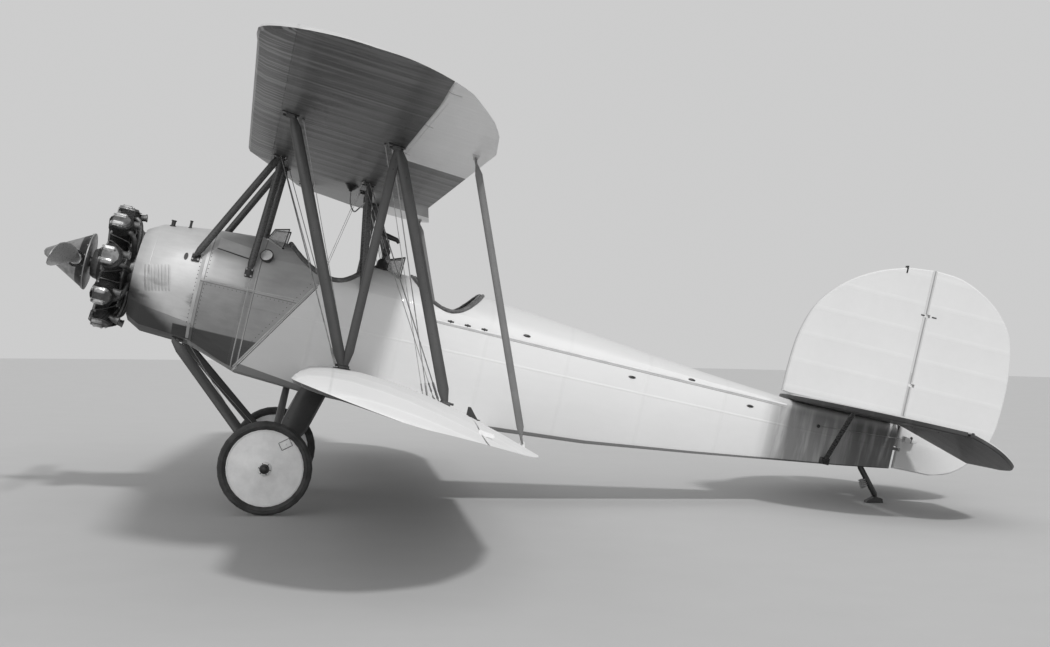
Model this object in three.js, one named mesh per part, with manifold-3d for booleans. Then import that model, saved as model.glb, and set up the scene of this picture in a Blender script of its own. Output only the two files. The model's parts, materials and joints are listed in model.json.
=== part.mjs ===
// A two-cockpit radial-engined biplane, standing on its two wheels and its tail skid.
// Everything is drawn in the airframe's own frame: X aft from the propeller's disc,
// Y to starboard (port is -Y), Z up from the thrust line, in millimetres.
// The group "craft" then pitches the airframe nose up until wheels and skid touch the floor.
import * as THREE from "three";
import { mergeVertices } from "three/addons/utils/BufferGeometryUtils.js";
import Module from "manifold-3d";

const wasm = await Module();
wasm.setup();

// Driving dimensions
const PITCH = (12.3 * Math.PI) / 180; // nose-up attitude at rest
const CENTRE_X = 2413; // from the wheel axles aft to the middle of the overall length
const GAP = 0.4; // between pieces that are fastened together

const WHEEL = { x: 1974, z: -1300, r: 381, width: 118, rim: 312, track: 2010 };
const AXLE = { r: 24, bore: 24.5, inner: 95 };

const SPINNER = { base: 100, nose: -296, r: 246 };
const PROP = { r: 1300, chord: 226, blade: 46 };
const ENGINE = { x: 325, top: 571, crank: 205, front: 124, back: 519.6, cylinders: 9 };

const UPPER = { x: 1175, z: 1225, chord: 1641, sweep: 0.0565, dihedral: 0.0417, incidence: 0.0497 };
const LOWER = { x: 2080, z: -566, chord: 1662, sweep: 0, dihedral: 0.028, incidence: 0.0655 };
const TIP_START = 3500; // span station where the trailing edge starts to curve in
const AILERON = { chord: 496, inner: 2200, gap: 9, arm: 400, strut: 3300, lugs: [2480, 3760, 4900], lug: 8 };
const PIN = { upper: -87, lower: -9 }; // aileron strut pins, from the hinge lines along the wing's normal
const N_STRUT = { span: 2700, front: 285, rear: 1056, chord: 80, thick: 34 };
const CABANE = { y: 440, foot: 468 };

const POST = { x: 7512, r: 10, lugs: [620, 1276], foot: 20 }; // rudder hinge line and its lugs' heights
const TAIL = {
  z: 265,
  thick: 52,
  hinge: 7436,
  tube: 15,
  droop: (20 * Math.PI) / 180,
  lugs: [420, 1010, 1560],
};
const SKID_X = 7180;

// Small tools
const V = (x, y, z) => new THREE.Vector3(x, y, z);
const along = (p, dir, d) => p.clone().addScaledVector(dir, d);

function solid(geometry) {
  const g = geometry.clone();
  g.deleteAttribute("normal");
  g.deleteAttribute("uv");
  const m = mergeVertices(g, 1e-3);
  return new wasm.Manifold(
    new wasm.Mesh({
      numProp: 3,
      vertProperties: m.attributes.position.array,
      triVerts: new Uint32Array(m.index.array),
    }),
  );
}

function geometryOf(s) {
  const m = s.getMesh();
  const g = new THREE.BufferGeometry();
  g.setAttribute("position", new THREE.BufferAttribute(new Float32Array(m.vertProperties), 3));
  g.setIndex(new THREE.BufferAttribute(new Uint32Array(m.triVerts), 1));
  return g;
}

const union = (list) => list.reduce((a, b) => a.add(b));

// The rows from `first` to `last` drawn anew as a smooth curve with `steps` points between each two.
function eased(rows, first, last, steps) {
  const at = (r) => V(r[0], r[1], r[2] ?? 0);
  const curve = new THREE.CatmullRomCurve3(rows.slice(first, last + 1).map(at), false, "centripetal");
  const drawn = curve.getPoints((last - first) * steps).map((p) => [p.x, p.y, p.z].slice(0, rows[0].length));
  return [...rows.slice(0, first), ...drawn, ...rows.slice(last + 1)];
}
const biggest = (s) => s.decompose().sort((p, q) => q.volume() - p.volume())[0];
// s cut back to stand GAP off each of the others, which are grown by small shifts
const trim = (s, ...others) =>
  biggest(
    others.reduce(
      (t, [o, dx, dy, dz]) => t.subtract(o).subtract(o.translate([dx * GAP, dy * GAP, dz * GAP])),
      s,
    ),
  );

// A closed skin through rings of equal count, each a convex or nearly convex loop of points.
function loft(rings) {
  const n = rings[0].length;
  const pos = [];
  const tri = [];
  rings.forEach((ring) => ring.forEach((p) => pos.push(p.x, p.y, p.z)));
  for (let i = 0; i + 1 < rings.length; i++)
    for (let j = 0; j < n; j++) {
      const a = i * n + j;
      const b = i * n + ((j + 1) % n);
      tri.push(a, b, b + n, a, b + n, a + n);
    }
  [0, rings.length - 1].forEach((i, end) => {
    const c = rings[i].reduce((s, p) => s.add(p), V(0, 0, 0)).divideScalar(n);
    const k = pos.length / 3;
    pos.push(c.x, c.y, c.z);
    for (let j = 0; j < n; j++) {
      const a = i * n + j;
      const b = i * n + ((j + 1) % n);
      if (end) tri.push(a, b, k);
      else tri.push(b, a, k);
    }
  });
  let volume = 0;
  const at = (i) => V(pos[3 * i], pos[3 * i + 1], pos[3 * i + 2]);
  for (let i = 0; i < tri.length; i += 3)
    volume += at(tri[i]).dot(at(tri[i + 1]).cross(at(tri[i + 2])));
  if (volume < 0) for (let i = 0; i < tri.length; i += 3) [tri[i], tri[i + 1]] = [tri[i + 1], tri[i]];
  const g = new THREE.BufferGeometry();
  g.setAttribute("position", new THREE.Float32BufferAttribute(pos, 3));
  g.setIndex(tri);
  return solid(g);
}

// A ring round the line a to b at its point p: half sizes u across the flow, v along it.
function ringAt(p, dir, flow, u, v, sides) {
  const across = V(0, 0, 0).crossVectors(dir, flow).normalize();
  const along = V(0, 0, 0).crossVectors(across, dir).normalize();
  return Array.from({ length: sides }, (_, i) => {
    const t = (2 * Math.PI * i) / sides;
    const nose = Math.cos(t) < 0 ? 0.8 : 1.2; // streamlined: blunt in front, longer behind
    return p
      .clone()
      .addScaledVector(across, u * Math.sin(t))
      .addScaledVector(along, v * Math.cos(t) * nose);
  });
}

// A strut from a to b, streamlined along +X, narrowing over the length taper at each end.
function strut(a, b, thick, chord, taper = 0, sides = 10) {
  const dir = b.clone().sub(a).normalize();
  const flow = Math.abs(dir.x) > 0.95 ? V(0, 0, 1) : V(1, 0, 0);
  const at = (p, k) => ringAt(p, dir, flow, (thick / 2) * Math.sqrt(k), (chord / 2) * k, sides);
  if (!taper) return loft([at(a, 1), at(b, 1)]);
  return loft([
    at(a, 0.42),
    at(a.clone().addScaledVector(dir, taper), 1),
    at(b.clone().addScaledVector(dir, -taper), 1),
    at(b, 0.42),
  ]);
}

const rod = (a, b, r, sides = 8) => {
  const dir = b.clone().sub(a).normalize();
  const flow = Math.abs(dir.x) > 0.95 ? V(0, 0, 1) : V(1, 0, 0);
  const across = V(0, 0, 0).crossVectors(dir, flow).normalize();
  const along = V(0, 0, 0).crossVectors(across, dir).normalize();
  const at = (p) =>
    Array.from({ length: sides }, (_, i) => {
      const t = (2 * Math.PI * (i + 0.5)) / sides;
      return p
        .clone()
        .addScaledVector(across, r * Math.sin(t))
        .addScaledVector(along, r * Math.cos(t));
    });
  return loft([at(a), at(b)]);
};

// A turned piece: profile of [radius, height] about the line from p along dir.
function turned(profile, p, dir, sides) {
  const g = new THREE.LatheGeometry(
    profile.map(([r, h]) => new THREE.Vector2(r, h)),
    sides,
  );
  g.applyQuaternion(new THREE.Quaternion().setFromUnitVectors(V(0, 1, 0), dir.clone().normalize()));
  g.translate(p.x, p.y, p.z);
  return solid(g);
}

// A box between two corners.
function block(x0, x1, y0, y1, z0, z1) {
  const g = new THREE.BoxGeometry(x1 - x0, y1 - y0, z1 - z0);
  g.translate((x0 + x1) / 2, (y0 + y1) / 2, (z0 + z1) / 2);
  return solid(g);
}

// A flat outline in the X-Z plane, extruded along Y between y0 and y1, with a rounded edge.
function plateXZ(points, y0, y1, bevel = 0) {
  const shape = new THREE.Shape(points.map(([x, z]) => new THREE.Vector2(x, z)));
  const g = new THREE.ExtrudeGeometry(shape, {
    depth: y1 - y0 - 2 * bevel,
    bevelEnabled: bevel > 0,
    bevelThickness: bevel,
    bevelSize: bevel,
    bevelOffset: -bevel,
    bevelSegments: 1,
    curveSegments: 4,
  });
  g.rotateX(Math.PI / 2); // the shape's Y becomes Z, its depth becomes -Y
  g.translate(0, y1 - bevel, 0);
  return solid(g);
}

// The same for an outline in the X-Y plane, between z0 and z1.
function plateXY(points, z0, z1, bevel = 0) {
  const shape = new THREE.Shape(points.map(([x, y]) => new THREE.Vector2(x, y)));
  const g = new THREE.ExtrudeGeometry(shape, {
    depth: z1 - z0 - 2 * bevel,
    bevelEnabled: bevel > 0,
    bevelThickness: bevel,
    bevelSize: bevel,
    bevelOffset: -bevel,
    bevelSegments: 1,
    curveSegments: 4,
  });
  g.translate(0, 0, z0 + bevel);
  return solid(g);
}

const craft = new THREE.Group();
craft.name = "craft";
craft.rotation.y = PITCH;

function add(name, s, color) {
  const mesh = new THREE.Mesh(geometryOf(s), new THREE.MeshStandardMaterial({ color }));
  mesh.name = name;
  craft.add(mesh);
}

const mirrored = (s) => s.mirror([0, 1, 0]);
const SIDES = [
  ["left", -1],
  ["right", 1],
];
// Each left piece is drawn at -Y, and the right one is its mirror image.
const onSide = (s, side) => (side < 0 ? s : mirrored(s));

const CREAM = 0xd9d8d2;
const SILVER = 0xb7b8b6;
const GREY = 0x6f706e;
const DARK = 0x2b2b2b;
const BLACK = 0x151515;

// a hinge lug of the rudder, reaching back from x
const postLug = (x, z) =>
  union([
    block(x, POST.x, -8, 8, z - 14, z + 14),
    rod(V(POST.x, 0, z - 14), V(POST.x, 0, z + 14), POST.r, 12),
  ]);

// Fuselage
// x station, half width, deck top, upper longeron, belly, belly corner radius
const STATIONS = [
  [520, 400, 395, -10, -415, 400],
  [640, 462, 462, -10, -482, 462],
  [1070, 476, 520, 30, -500, 380],
  [1520, 474, 556, 110, -640, 190],
  [2080, 470, 536, 180, -668, 110],
  [2760, 455, 520, 190, -668, 90],
  [3540, 405, 494, 190, -650, 80],
  [4600, 305, 392, 190, -565, 64],
  [5600, 205, 296, 190, -437, 48],
  [6380, 132, 238.6, 186, -327, 34],
  [7000, 78, 238.6, 176, -242, 22],
  [7462, 36, 238.6, 170, -170, 12],
];

// A fuselage section at x, shrunk by t all round: bottom arc, side, deck arc.
function section(x, t = 0, floor = -1e9) {
  let i = 0;
  while (i + 2 < STATIONS.length && STATIONS[i + 1][0] < x) i++;
  const [a, b] = [STATIONS[i], STATIONS[i + 1]];
  const k = (x - a[0]) / (b[0] - a[0]);
  const [, w, top, side, belly, corner] = a.map((q, j) => q + (b[j] - q) * k);
  const half = [];
  const c = Math.max(corner - t, 6);
  const low = Math.max(belly + t, floor);
  const height = Math.min(c, side - low);
  for (const d of [0, 30, 60, 90]) {
    const r = (d * Math.PI) / 180;
    half.push([w - t - c + c * Math.sin(r), low + height - height * Math.cos(r)]);
  }
  for (const d of [0, 18, 36, 54, 72]) {
    const r = (d * Math.PI) / 180;
    half.push([(w - t) * Math.cos(r), side + (top - t - side) * Math.sin(r)]);
  }
  const ring = half.map(([y, z]) => V(x, -y, z));
  ring.push(V(x, 0, top - t));
  for (let j = half.length - 1; j >= 0; j--) ring.push(V(x, half[j][0], half[j][1]));
  if (half[0][0] < 1) ring.pop();
  else ring.push(V(x, 0, low));
  return ring;
}

// All rings have the same count: a round belly keeps its two lowest points a little apart.
const stationRing = (x, t, floor) => {
  const r = section(x, t, floor);
  while (r.length < 20) r.splice(r.length - 1, 0, r[r.length - 1].clone().lerp(r[0], 0.5));
  return r;
};

const COCKPITS = { front: [1700, 2165, 2480], rear: [2768, 3190, 3510] };
const SPLITS = [1450, 2700]; // the fuselage is three nodes: the solid nose, then a tub for each cockpit
const HOLLOW = { from: SPLITS[0], to: 3720, wall: 26, floor: -430 };
const COWL_END = 1070;

const cowl = loft([520, 570, 640, 850, COWL_END - GAP].map((x) => stationRing(x)));
const body = loft(
  [COWL_END, ...STATIONS.map((s) => s[0]).filter((x) => x > COWL_END)].map((x) => stationRing(x)),
);
const bodyBoth = body.add(mirrored(body));
const cowlBoth = cowl.add(mirrored(cowl));
{
  const room = loft(
    [HOLLOW.from, 1520, 2080, 2760, 3540, HOLLOW.to].map((x) =>
      stationRing(x, HOLLOW.wall, HOLLOW.floor),
    ),
  );
  // Cockpit cut-outs: deep in the middle, seen from the side as a saddle.
  const saddle = ([x0, x1, x2], low) => {
    const pts = [];
    for (let i = 0; i <= 6; i++) {
      const t = i / 6;
      pts.push([x0 + (x1 - x0) * t, 575 - (575 - low) * Math.sin((t * Math.PI) / 2) ** 0.9]);
    }
    for (let i = 1; i <= 6; i++) {
      const t = i / 6;
      pts.push([x1 + (x2 - x1) * t, 575 - (575 - low) * Math.cos((t * Math.PI) / 2) ** 0.9]);
    }
    pts.push([x2, 700], [x0, 700]);
    return plateXZ(pts, -600, 600);
  };
  const shell = body
    .subtract(room)
    .subtract(saddle(COCKPITS.front, 318))
    .subtract(saddle(COCKPITS.rear, 288));
  add("nose_cowl", cowl, SILVER);
  const between = (a, b) => shell.intersect(block(a + GAP / 2, b - GAP / 2, -700, 700, -900, 900));
  add("fuselage_nose", between(900, SPLITS[0]), SILVER);
  add("fuselage_front", between(SPLITS[0], SPLITS[1]), SILVER);
  add("fuselage_rear", between(SPLITS[1], 8000).add(postLug(7450, POST.foot)), CREAM);

  const skin = shell.add(mirrored(shell));
  const panel = (x) => {
    const plate = loft([x, x + 14].map((at) => stationRing(at, HOLLOW.wall - 4)));
    const sheet = plate.subtract(block(x - 50, x + 80, -600, 600, -900, 90));
    return trim(sheet, [skin, 0, -1, 0], [skin, 0, 1, 0], [skin, 0, 0, -1]);
  };
  add("front_panel", panel(1640), DARK);
  add("rear_panel", panel(2620), DARK);
}

// Seats
{
  for (const [name, x] of [
    ["front_seat", 2060],
    ["rear_seat", 3080],
  ]) {
    const outer = plateXZ(
      [
        [x - 60, -120],
        [x + 330, -140],
        [x + 400, 330],
        [x + 340, 345],
        [x + 270, -60],
        [x - 60, -40],
      ],
      -215,
      215,
      10,
    );
    const leg = (y) => block(x, x + 250, y - 12, y + 12, HOLLOW.floor + GAP, -118);
    add(name, union([outer, leg(-150), leg(150)]), DARK);
  }
}

// Windshields: a middle pane and two raked side panes
// x of the middle pane and its lean, how far back the side panes reach and their lean,
// then the heights of the lower and upper edges, in the middle and at the sides
for (const [name, x, lean, back, sideLean, low, top, sideLow, sideTop] of [
  ["front_windshield", 1505, 60, 165, 20, 515, 640, 465, 664],
  ["rear_windshield", 2580, 2, 122, 6, 470, 618, 410, 662],
]) {
  const at = (k, up, t) => {
    const y = k * (250 - 30 * up);
    if (Math.abs(k) > 0.9) return V(x + back + sideLean * up + t, y, sideLow + (sideTop - sideLow) * up);
    return V(x + lean * up + t, y, low + (top - low) * up);
  };
  const pane = (p, q) =>
    loft([0, 7].map((t) => [at(p, 0, t), at(q, 0, t), at(q, 1, t), at(p, 1, t)]));
  const panes = union([pane(-1, -0.46), pane(-0.46, 0.46), pane(0.46, 1)]);
  add(name, trim(panes, [body, 0, 0, 1]), 0xcfd6d8);
}

// Engine: crankcase, nine cylinders and their rear exhaust stubs
{
  const c = ENGINE.crank;
  const back = ENGINE.back - ENGINE.front;
  const core = turned(
    [[0, 0], [112, 0], [128, 22], [138, 60], [c, 108], [c, 285], [150, 330], [150, back], [0, back]],
    V(ENGINE.front, 0, 0),
    V(1, 0, 0),
    28,
  );
  const parts = [core];
  for (let i = 0; i < ENGINE.cylinders; i++) {
    const a = (2 * Math.PI * i) / ENGINE.cylinders;
    const out = V(0, Math.sin(a), Math.cos(a));
    const side = V(0, Math.cos(a), -Math.sin(a));
    const base = V(ENGINE.x, 0, 0).addScaledVector(out, c - 22);
    const outline = [[0, 0], [74, 0], [74, 244], [90, 254], [90, 318], [72, 345], [0, 345]];
    parts.push(turned(outline, base, out, 10));
    // two rocker boxes, the intake and the exhaust at the back of the head
    for (const k of [-1, 1]) {
      const p = V(ENGINE.x - 18, 0, 0)
        .addScaledVector(out, ENGINE.top - 62)
        .addScaledVector(side, 52 * k);
      parts.push(rod(p.clone().add(V(-62, 0, 0)), p.clone().add(V(52, 0, 0)), 27, 6));
      const q = V(ENGINE.x - 82, 0, 0).addScaledVector(side, 38 * k);
      parts.push(rod(along(q, out, c - 40), along(q, out, ENGINE.top - 60), 10, 4));
    }
    const h = V(ENGINE.x + 40, 0, 0)
      .addScaledVector(out, ENGINE.top - 110)
      .addScaledVector(side, 40);
    parts.push(rod(h, h.clone().add(V(110, 0, 0)).addScaledVector(out, 12), 26, 6));
  }
  add("engine", union(parts), GREY);
}

// Spinner and propeller
{
  const L = SPINNER.base - SPINNER.nose;
  const profile = [
    [0, 0],
    [SPINNER.r - 10, 0],
    [SPINNER.r, 9],
    [SPINNER.r * 0.965, L * 0.05],
    [SPINNER.r * 0.35, L * 0.73],
    [SPINNER.r * 0.21, L * 0.88],
    [SPINNER.r * 0.12, L * 0.965],
    [0, L],
  ];
  const body = turned(profile, V(SPINNER.base, 0, 0), V(-1, 0, 0), 28);
  // blade stations: distance out, chord share, pitch in degrees, thickness share
  const BLADE = [
    [150, 0.34, 48, 1.5],
    [330, 0.6, 42, 1.1],
    [600, 0.94, 33, 0.72],
    [860, 1.04, 27, 0.5],
    [1080, 1.0, 23, 0.36],
    [1210, 0.84, 21, 0.28],
    [1275, 0.56, 20, 0.22],
    [PROP.r, 0.2, 20, 0.18],
  ];
  const blade = (side) =>
    loft(
      BLADE.map(([s, c, deg, t]) => {
        const th = (deg * Math.PI) / 180;
        return Array.from({ length: 12 }, (_, i) => {
          const a = (2 * Math.PI * i) / 12;
          const u = (Math.cos(a) * PROP.chord * c) / 2;
          const w = (Math.sin(a) * PROP.blade * t) / 2;
          const flow = u * Math.sin(th) - w * Math.cos(th);
          const disc = u * Math.cos(th) + w * Math.sin(th);
          // to port the lower edge is foremost
          return V(flow, side * s, -side * disc);
        });
      }),
    );
  const blades = union([blade(-1), blade(1), rod(V(0, -160, 0), V(0, 160, 0), 52, 12)]);
  const hubDrum = (grow) => {
    const r = 86 + grow;
    const h = 66 + grow;
    return turned([[0, -h], [r, -h], [r, h], [0, h]], V(0, 0, 0), V(1, 0, 0), 20);
  };
  const shaft = rod(V(SPINNER.base - 30, 0, 0), V(ENGINE.front - GAP, 0, 0), 44, 16);
  const grown = union([
    rod(V(0, -300, 0), V(0, 300, 0), 74, 16),
    hubDrum(GAP),
  ]);
  add("spinner", body.subtract(grown).add(shaft), SILVER);
  add("propeller", union([blades, hubDrum(0)]), GREY);
}

// Wings
// airfoil: chord share, height of the upper and lower skins as shares of the chord
const AIRFOIL = [
  [0, 0.036, 0.036],
  [0.012, 0.056, 0.019],
  [0.05, 0.08, 0.009],
  [0.12, 0.1, 0.003],
  [0.24, 0.116, 0],
  [0.38, 0.1155, 0],
  [0.52, 0.103, 0],
  [0.68, 0.077, 0],
  [0.84, 0.043, 0],
  [1, 0.0035, 0],
];
// tip: span beyond TIP_START, leading edge and trailing edge offsets from the straight edges
const TIP = [
  [0, 0, 0],
  [600, 0, 88],
  [1000, 0, 190],
  [1380, 0, 340],
  [1540, 62, 410],
  [1720, 200, 552],
  [1860, 370, 712],
  [1935, 510, 830],
  [1960, 610, 905],
];

function wingRing(W, s, lead, trail) {
  const x0 = W.x + W.sweep * s + lead;
  const chord = W.chord - lead - trail;
  const z = (x) => W.z + W.dihedral * s - W.incidence * (x - W.x - W.sweep * s);
  const out = Math.max(0, (s - TIP_START - 900) / 1060);
  const full = 1 - 0.7 * out * out; // towards the tip both skins close on its bow
  const at = (k, h) => V(x0 + k * chord, -s, z(x0 + k * chord) + (h * full + 0.03 * (1 - full)) * chord);
  return [
    ...AIRFOIL.map(([k, up]) => at(k, up)),
    ...AIRFOIL.slice(1)
      .reverse()
      .map(([k, , low]) => at(k, low)),
  ];
}

const wingRings = (W, root) => [
  wingRing(W, root, 0, 0),
  ...eased(TIP, 1, 8, 2).map(([s, lead, trail]) => wingRing(W, TIP_START + s, lead, trail)),
];

// hinge line of an aileron: a point at span s, at mid thickness
const hingeHalf = (W) => 0.0733 * W.chord * 0.5;
function hingeAt(W, s) {
  const x = W.x + W.sweep * s + W.chord - AILERON.chord;
  const z = W.z + W.dihedral * s - W.incidence * (x - W.x - W.sweep * s) + hingeHalf(W);
  return V(x, -s, z);
}

function wingParts(W, root) {
  const whole = loft(wingRings(W, root));
  const a = hingeAt(W, AILERON.inner);
  const b = hingeAt(W, 5600);
  const dir = b.clone().sub(a).normalize();
  const aft = V(1, 0, -W.incidence).normalize();
  const up = V(0, 0, 0).crossVectors(aft, dir).normalize();
  if (up.z < 0) up.negate();
  const back = V(0, 0, 0).crossVectors(dir, up).normalize();
  if (back.x < 0) back.negate();
  // a slab behind the hinge line, from `start` along it, shifted aft by `shift`
  const slab = (start, shift) => {
    const o = a.clone().addScaledVector(dir, start).addScaledVector(back, shift);
    const e = b.clone().addScaledVector(back, shift);
    const ring = (p) => [
      p.clone().addScaledVector(up, 160),
      p.clone().addScaledVector(up, -160),
      p.clone().addScaledVector(up, -160).addScaledVector(back, 900),
      p.clone().addScaledVector(up, 160).addScaledVector(back, 900),
    ];
    return loft([ring(o), ring(e)]);
  };
  const r = hingeHalf(W) - 3;
  const cove = rod(a, b, r + 10, 18).add(slab(0, 0));
  const nose = rod(a.clone().addScaledVector(dir, AILERON.gap), b, r, 18);
  // hinge lugs stand in the cove, and slots across the aileron's nose take them
  const across = (s, r0, half) => {
    const o = hingeAt(W, s);
    return rod(o.clone().addScaledVector(dir, -half), o.clone().addScaledVector(dir, half), r0, 10);
  };
  const lug = (s) => {
    const o = hingeAt(W, s);
    const ring = (k) =>
      [[-r - 25, -14], [-r - 25, 14], [0, 12], [0, -12]].map(([u, v]) =>
        o.clone().addScaledVector(dir, k).addScaledVector(back, u).addScaledVector(up, v),
      );
    return loft([ring(-AILERON.lug), ring(AILERON.lug)]).add(across(s, 12, AILERON.lug));
  };
  const slots = union(AILERON.lugs.map((s) => across(s, r + 14, AILERON.lug + GAP)));
  const wing = whole.subtract(cove).add(union(AILERON.lugs.map(lug)));
  const flap = whole.intersect(slab(AILERON.gap, 4).add(nose)).subtract(slots);
  return { wing: biggest(wing), flap: biggest(flap), dir, up, back };
}

const FUSE_Y = 482; // half width between the lower wings' root fittings
const upper = wingParts(UPPER, GAP / 2);
const lower = wingParts(LOWER, 380);
lower.wing = trim(lower.wing, [bodyBoth, 0, -1, 0], [bodyBoth, 0, 0, -1]);
// pins of the aileron struts, on the ailerons' facing skins
const pinAt = (wing, { back, up }, drop) =>
  hingeAt(wing, AILERON.strut).addScaledVector(back, AILERON.arm).addScaledVector(up, drop);
const upperPin = pinAt(UPPER, upper, PIN.upper);
const lowerPin = pinAt(LOWER, lower, PIN.lower);

for (const [name, side] of SIDES) {
  add("upper_wing_" + name, onSide(upper.wing, side), CREAM);
  add("lower_wing_" + name, onSide(lower.wing, side), CREAM);
  const ear = (p, down, half) =>
    plateXZ(
      [
        [p.x - 30, p.z + down * 42],
        [p.x + 30, p.z + down * 42],
        [p.x + 13, p.z - down * 12],
        [p.x - 13, p.z - down * 12],
      ],
      p.y - half,
      p.y + half,
    );
  // the upper pin belongs to the strut and turns in the ear; the lower pivot stays open
  const pin = (r, half, sides) =>
    rod(along(upperPin, upper.dir, -half), along(upperPin, upper.dir, half), r, sides);
  const upperEar = ear(upperPin, 1, 5).subtract(pin(5.6, 30, 16));
  add("upper_aileron_" + name, onSide(upper.flap.add(upperEar), side), CREAM);
  add("lower_aileron_" + name, onSide(lower.flap.add(ear(lowerPin, -1, 4)), side), CREAM);
  // the strut's forked ends stand either side of the ears
  const a = upperPin.clone();
  const b = lowerPin.clone();
  const d = b.clone().sub(a).normalize();
  const bar = strut(a.clone().addScaledVector(d, 46), b.clone().addScaledVector(d, -46), 26, 50, 60, 10);
  const fork = (p, sgn, apart) => {
    const end = p.clone().addScaledVector(d, sgn * 46);
    const prong = (k) =>
      rod(p.clone().add(V(0, k, 0)).addScaledVector(d, -sgn * 9), end.clone().add(V(0, k, 0)), 7, 8);
    const yoke = rod(end.clone().add(V(0, -apart - 5, 0)), end.clone().add(V(0, apart + 5, 0)), 9, 8);
    return union([prong(-apart), prong(apart), yoke]);
  };
  const whole = union([bar, fork(a, 1, 15), fork(b, -1, 18), pin(5, 17, 12)]);
  add("aileron_strut_" + name, onSide(whole, side), GREY);
}

// Interplane struts with the main flying and landing wires
const skinZ = (W, s, x, top) => {
  const k = (x - W.x - W.sweep * s) / W.chord;
  const row = AIRFOIL.findIndex((q) => q[0] >= k);
  const [p, q] = [AIRFOIL[row - 1], AIRFOIL[row]];
  const t = (k - p[0]) / (q[0] - p[0]);
  const h = top ? p[1] + (q[1] - p[1]) * t : p[2] + (q[2] - p[2]) * t;
  return W.z + W.dihedral * s - W.incidence * (x - W.x - W.sweep * s) + h * W.chord;
};
const onWing = (W, s, offset, top, lift) => {
  const x = W.x + W.sweep * s + offset;
  return V(x, -s, skinZ(W, s, x, top) + lift);
};
{
  const { span: s, front, rear, chord, thick } = N_STRUT;
  const tf = onWing(UPPER, s, front, false, 8);
  const tr = onWing(UPPER, s, rear, false, 8);
  const bf = onWing(LOWER, s, front, true, -8);
  const br = onWing(LOWER, s, rear, true, -8);
  const cf = onWing(UPPER, CABANE.y + 60, front, false, 4);
  const cr = onWing(UPPER, CABANE.y + 60, rear, false, 4);
  const rootAt = (offset) => onWing(LOWER, FUSE_Y + 44, offset, true, -8);
  const bars = [
    strut(tf, bf, thick, chord, 120),
    strut(tr, bf.clone().add(V(18, 0, 14)), thick - 4, chord - 14, 120),
    strut(tr, br, thick, chord, 120),
    rod(bf.clone().add(V(-26, 0, 18)), bf.clone().add(V(44, 0, 18)), 24, 8),
    rod(tr.clone().add(V(-30, 0, -20)), tr.clone().add(V(30, 0, -20)), 24, 8),
    rod(tf.clone().add(V(-30, 0, -20)), tf.clone().add(V(34, 0, -20)), 24, 8),
    rod(br.clone().add(V(-34, 0, 18)), br.clone().add(V(30, 0, 18)), 22, 8),
  ];
  // a wire between two skins, with the clevis and turnbuckle that thicken its lower end
  const wire = (a, b) => {
    const d = b.clone().sub(a).normalize();
    const thick = rod(b.clone().addScaledVector(d, -230), b.clone().addScaledVector(d, -60), 9, 6);
    return union([rod(a, b, 4.5, 6), thick]);
  };
  const fit = (s) => trim(s, [upper.wing, 0, 0, -1], [lower.wing, 0, 0, 1]);
  const WIRES = [
    // name, upper end, lower end
    ["landing_wire_front_", cf, onWing(LOWER, s - 40, front - 34, true, -8)],
    ["landing_wire_rear_", cr, onWing(LOWER, s - 40, rear - 40, true, -8)],
    ["flying_wire_front_", onWing(UPPER, s - 50, front + 44, false, 8), rootAt(front + 30)],
    ["flying_wire_rear_", onWing(UPPER, s - 50, rear - 40, false, 8), rootAt(rear + 30)],
  ];
  for (const [name, side] of SIDES) {
    add("interplane_struts_" + name, onSide(fit(union(bars)), side), GREY);
    for (const [wireName, a, b] of WIRES) add(wireName + name, onSide(fit(wire(a, b)), side), GREY);
  }
}

// Centre-section struts
{
  const y = CABANE.y;
  const top = onWing(UPPER, y, N_STRUT.front, false, 8);
  const rear = onWing(UPPER, y, N_STRUT.rear, false, 8);
  const fit = (s) => trim(s, [upper.wing, 0, 0, -1], [bodyBoth, 0, -1, 0], [cowlBoth, 0, -1, 0]);
  for (const [name, side] of SIDES) {
    const f = union([
      strut(V(985, -CABANE.foot, 245), top.clone().add(V(-10, 0, 0)), 30, 62, 70),
      strut(V(1450, -CABANE.foot, 219), top.clone().add(V(14, 0, 0)), 30, 62, 70),
      rod(top.clone().add(V(-34, 0, -16)), top.clone().add(V(40, 0, -16)), 22, 8),
    ]);
    const r = union([
      strut(V(2420, -CABANE.foot + 22, 250), rear, 30, 60, 70),
      rod(rear.clone().add(V(-34, 0, -16)), rear.clone().add(V(30, 0, -16)), 20, 8),
    ]);
    add("cabane_front_" + name, onSide(fit(f), side), DARK);
    add("cabane_rear_" + name, onSide(fit(r), side), DARK);
  }
}

// Fin and rudder: outlines in the side view, x and z
const FIN = [
  [6392, 291.4],
  [6322, 300],
  [6330, 620],
  [6362, 880],
  [6470, 1170],
  [6700, 1420],
  [6970, 1580],
  [7230, 1672],
  [7474, 1700],
  [7474, 291.4],
];
const RUDDER = [
  [7500, 1702],
  [7760, 1684],
  [8030, 1572],
  [8200, 1442],
  [8330, 1262],
  [8396, 980],
  [8412, 690],
  [8370, 290],
  [8220, 55],
  [8050, -88],
  [7850, -150],
  [7500, -158],
];
const finPlate = plateXZ(eased(FIN, 1, 7, 3), -26, 26, 11);
add("fin", union([finPlate, ...POST.lugs.map((z) => postLug(7462, z))]), CREAM);
{
  // slots in the rudder's nose let the lugs reach its hinge line
  const slotAt = (z) => block(7480, POST.x + 20, -60, 60, z - 14 - GAP, z + 14 + GAP);
  const slots = [...POST.lugs, POST.foot].map(slotAt);
  const blade = plateXZ(eased(RUDDER, 0, 10, 3), -25, 25, 11).subtract(union(slots));
  const horn = plateXZ([[7530, 96], [7640, 110], [7650, 128], [7530, 150]], -96, 96, 3);
  add("rudder", blade.add(horn), CREAM);
}

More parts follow.
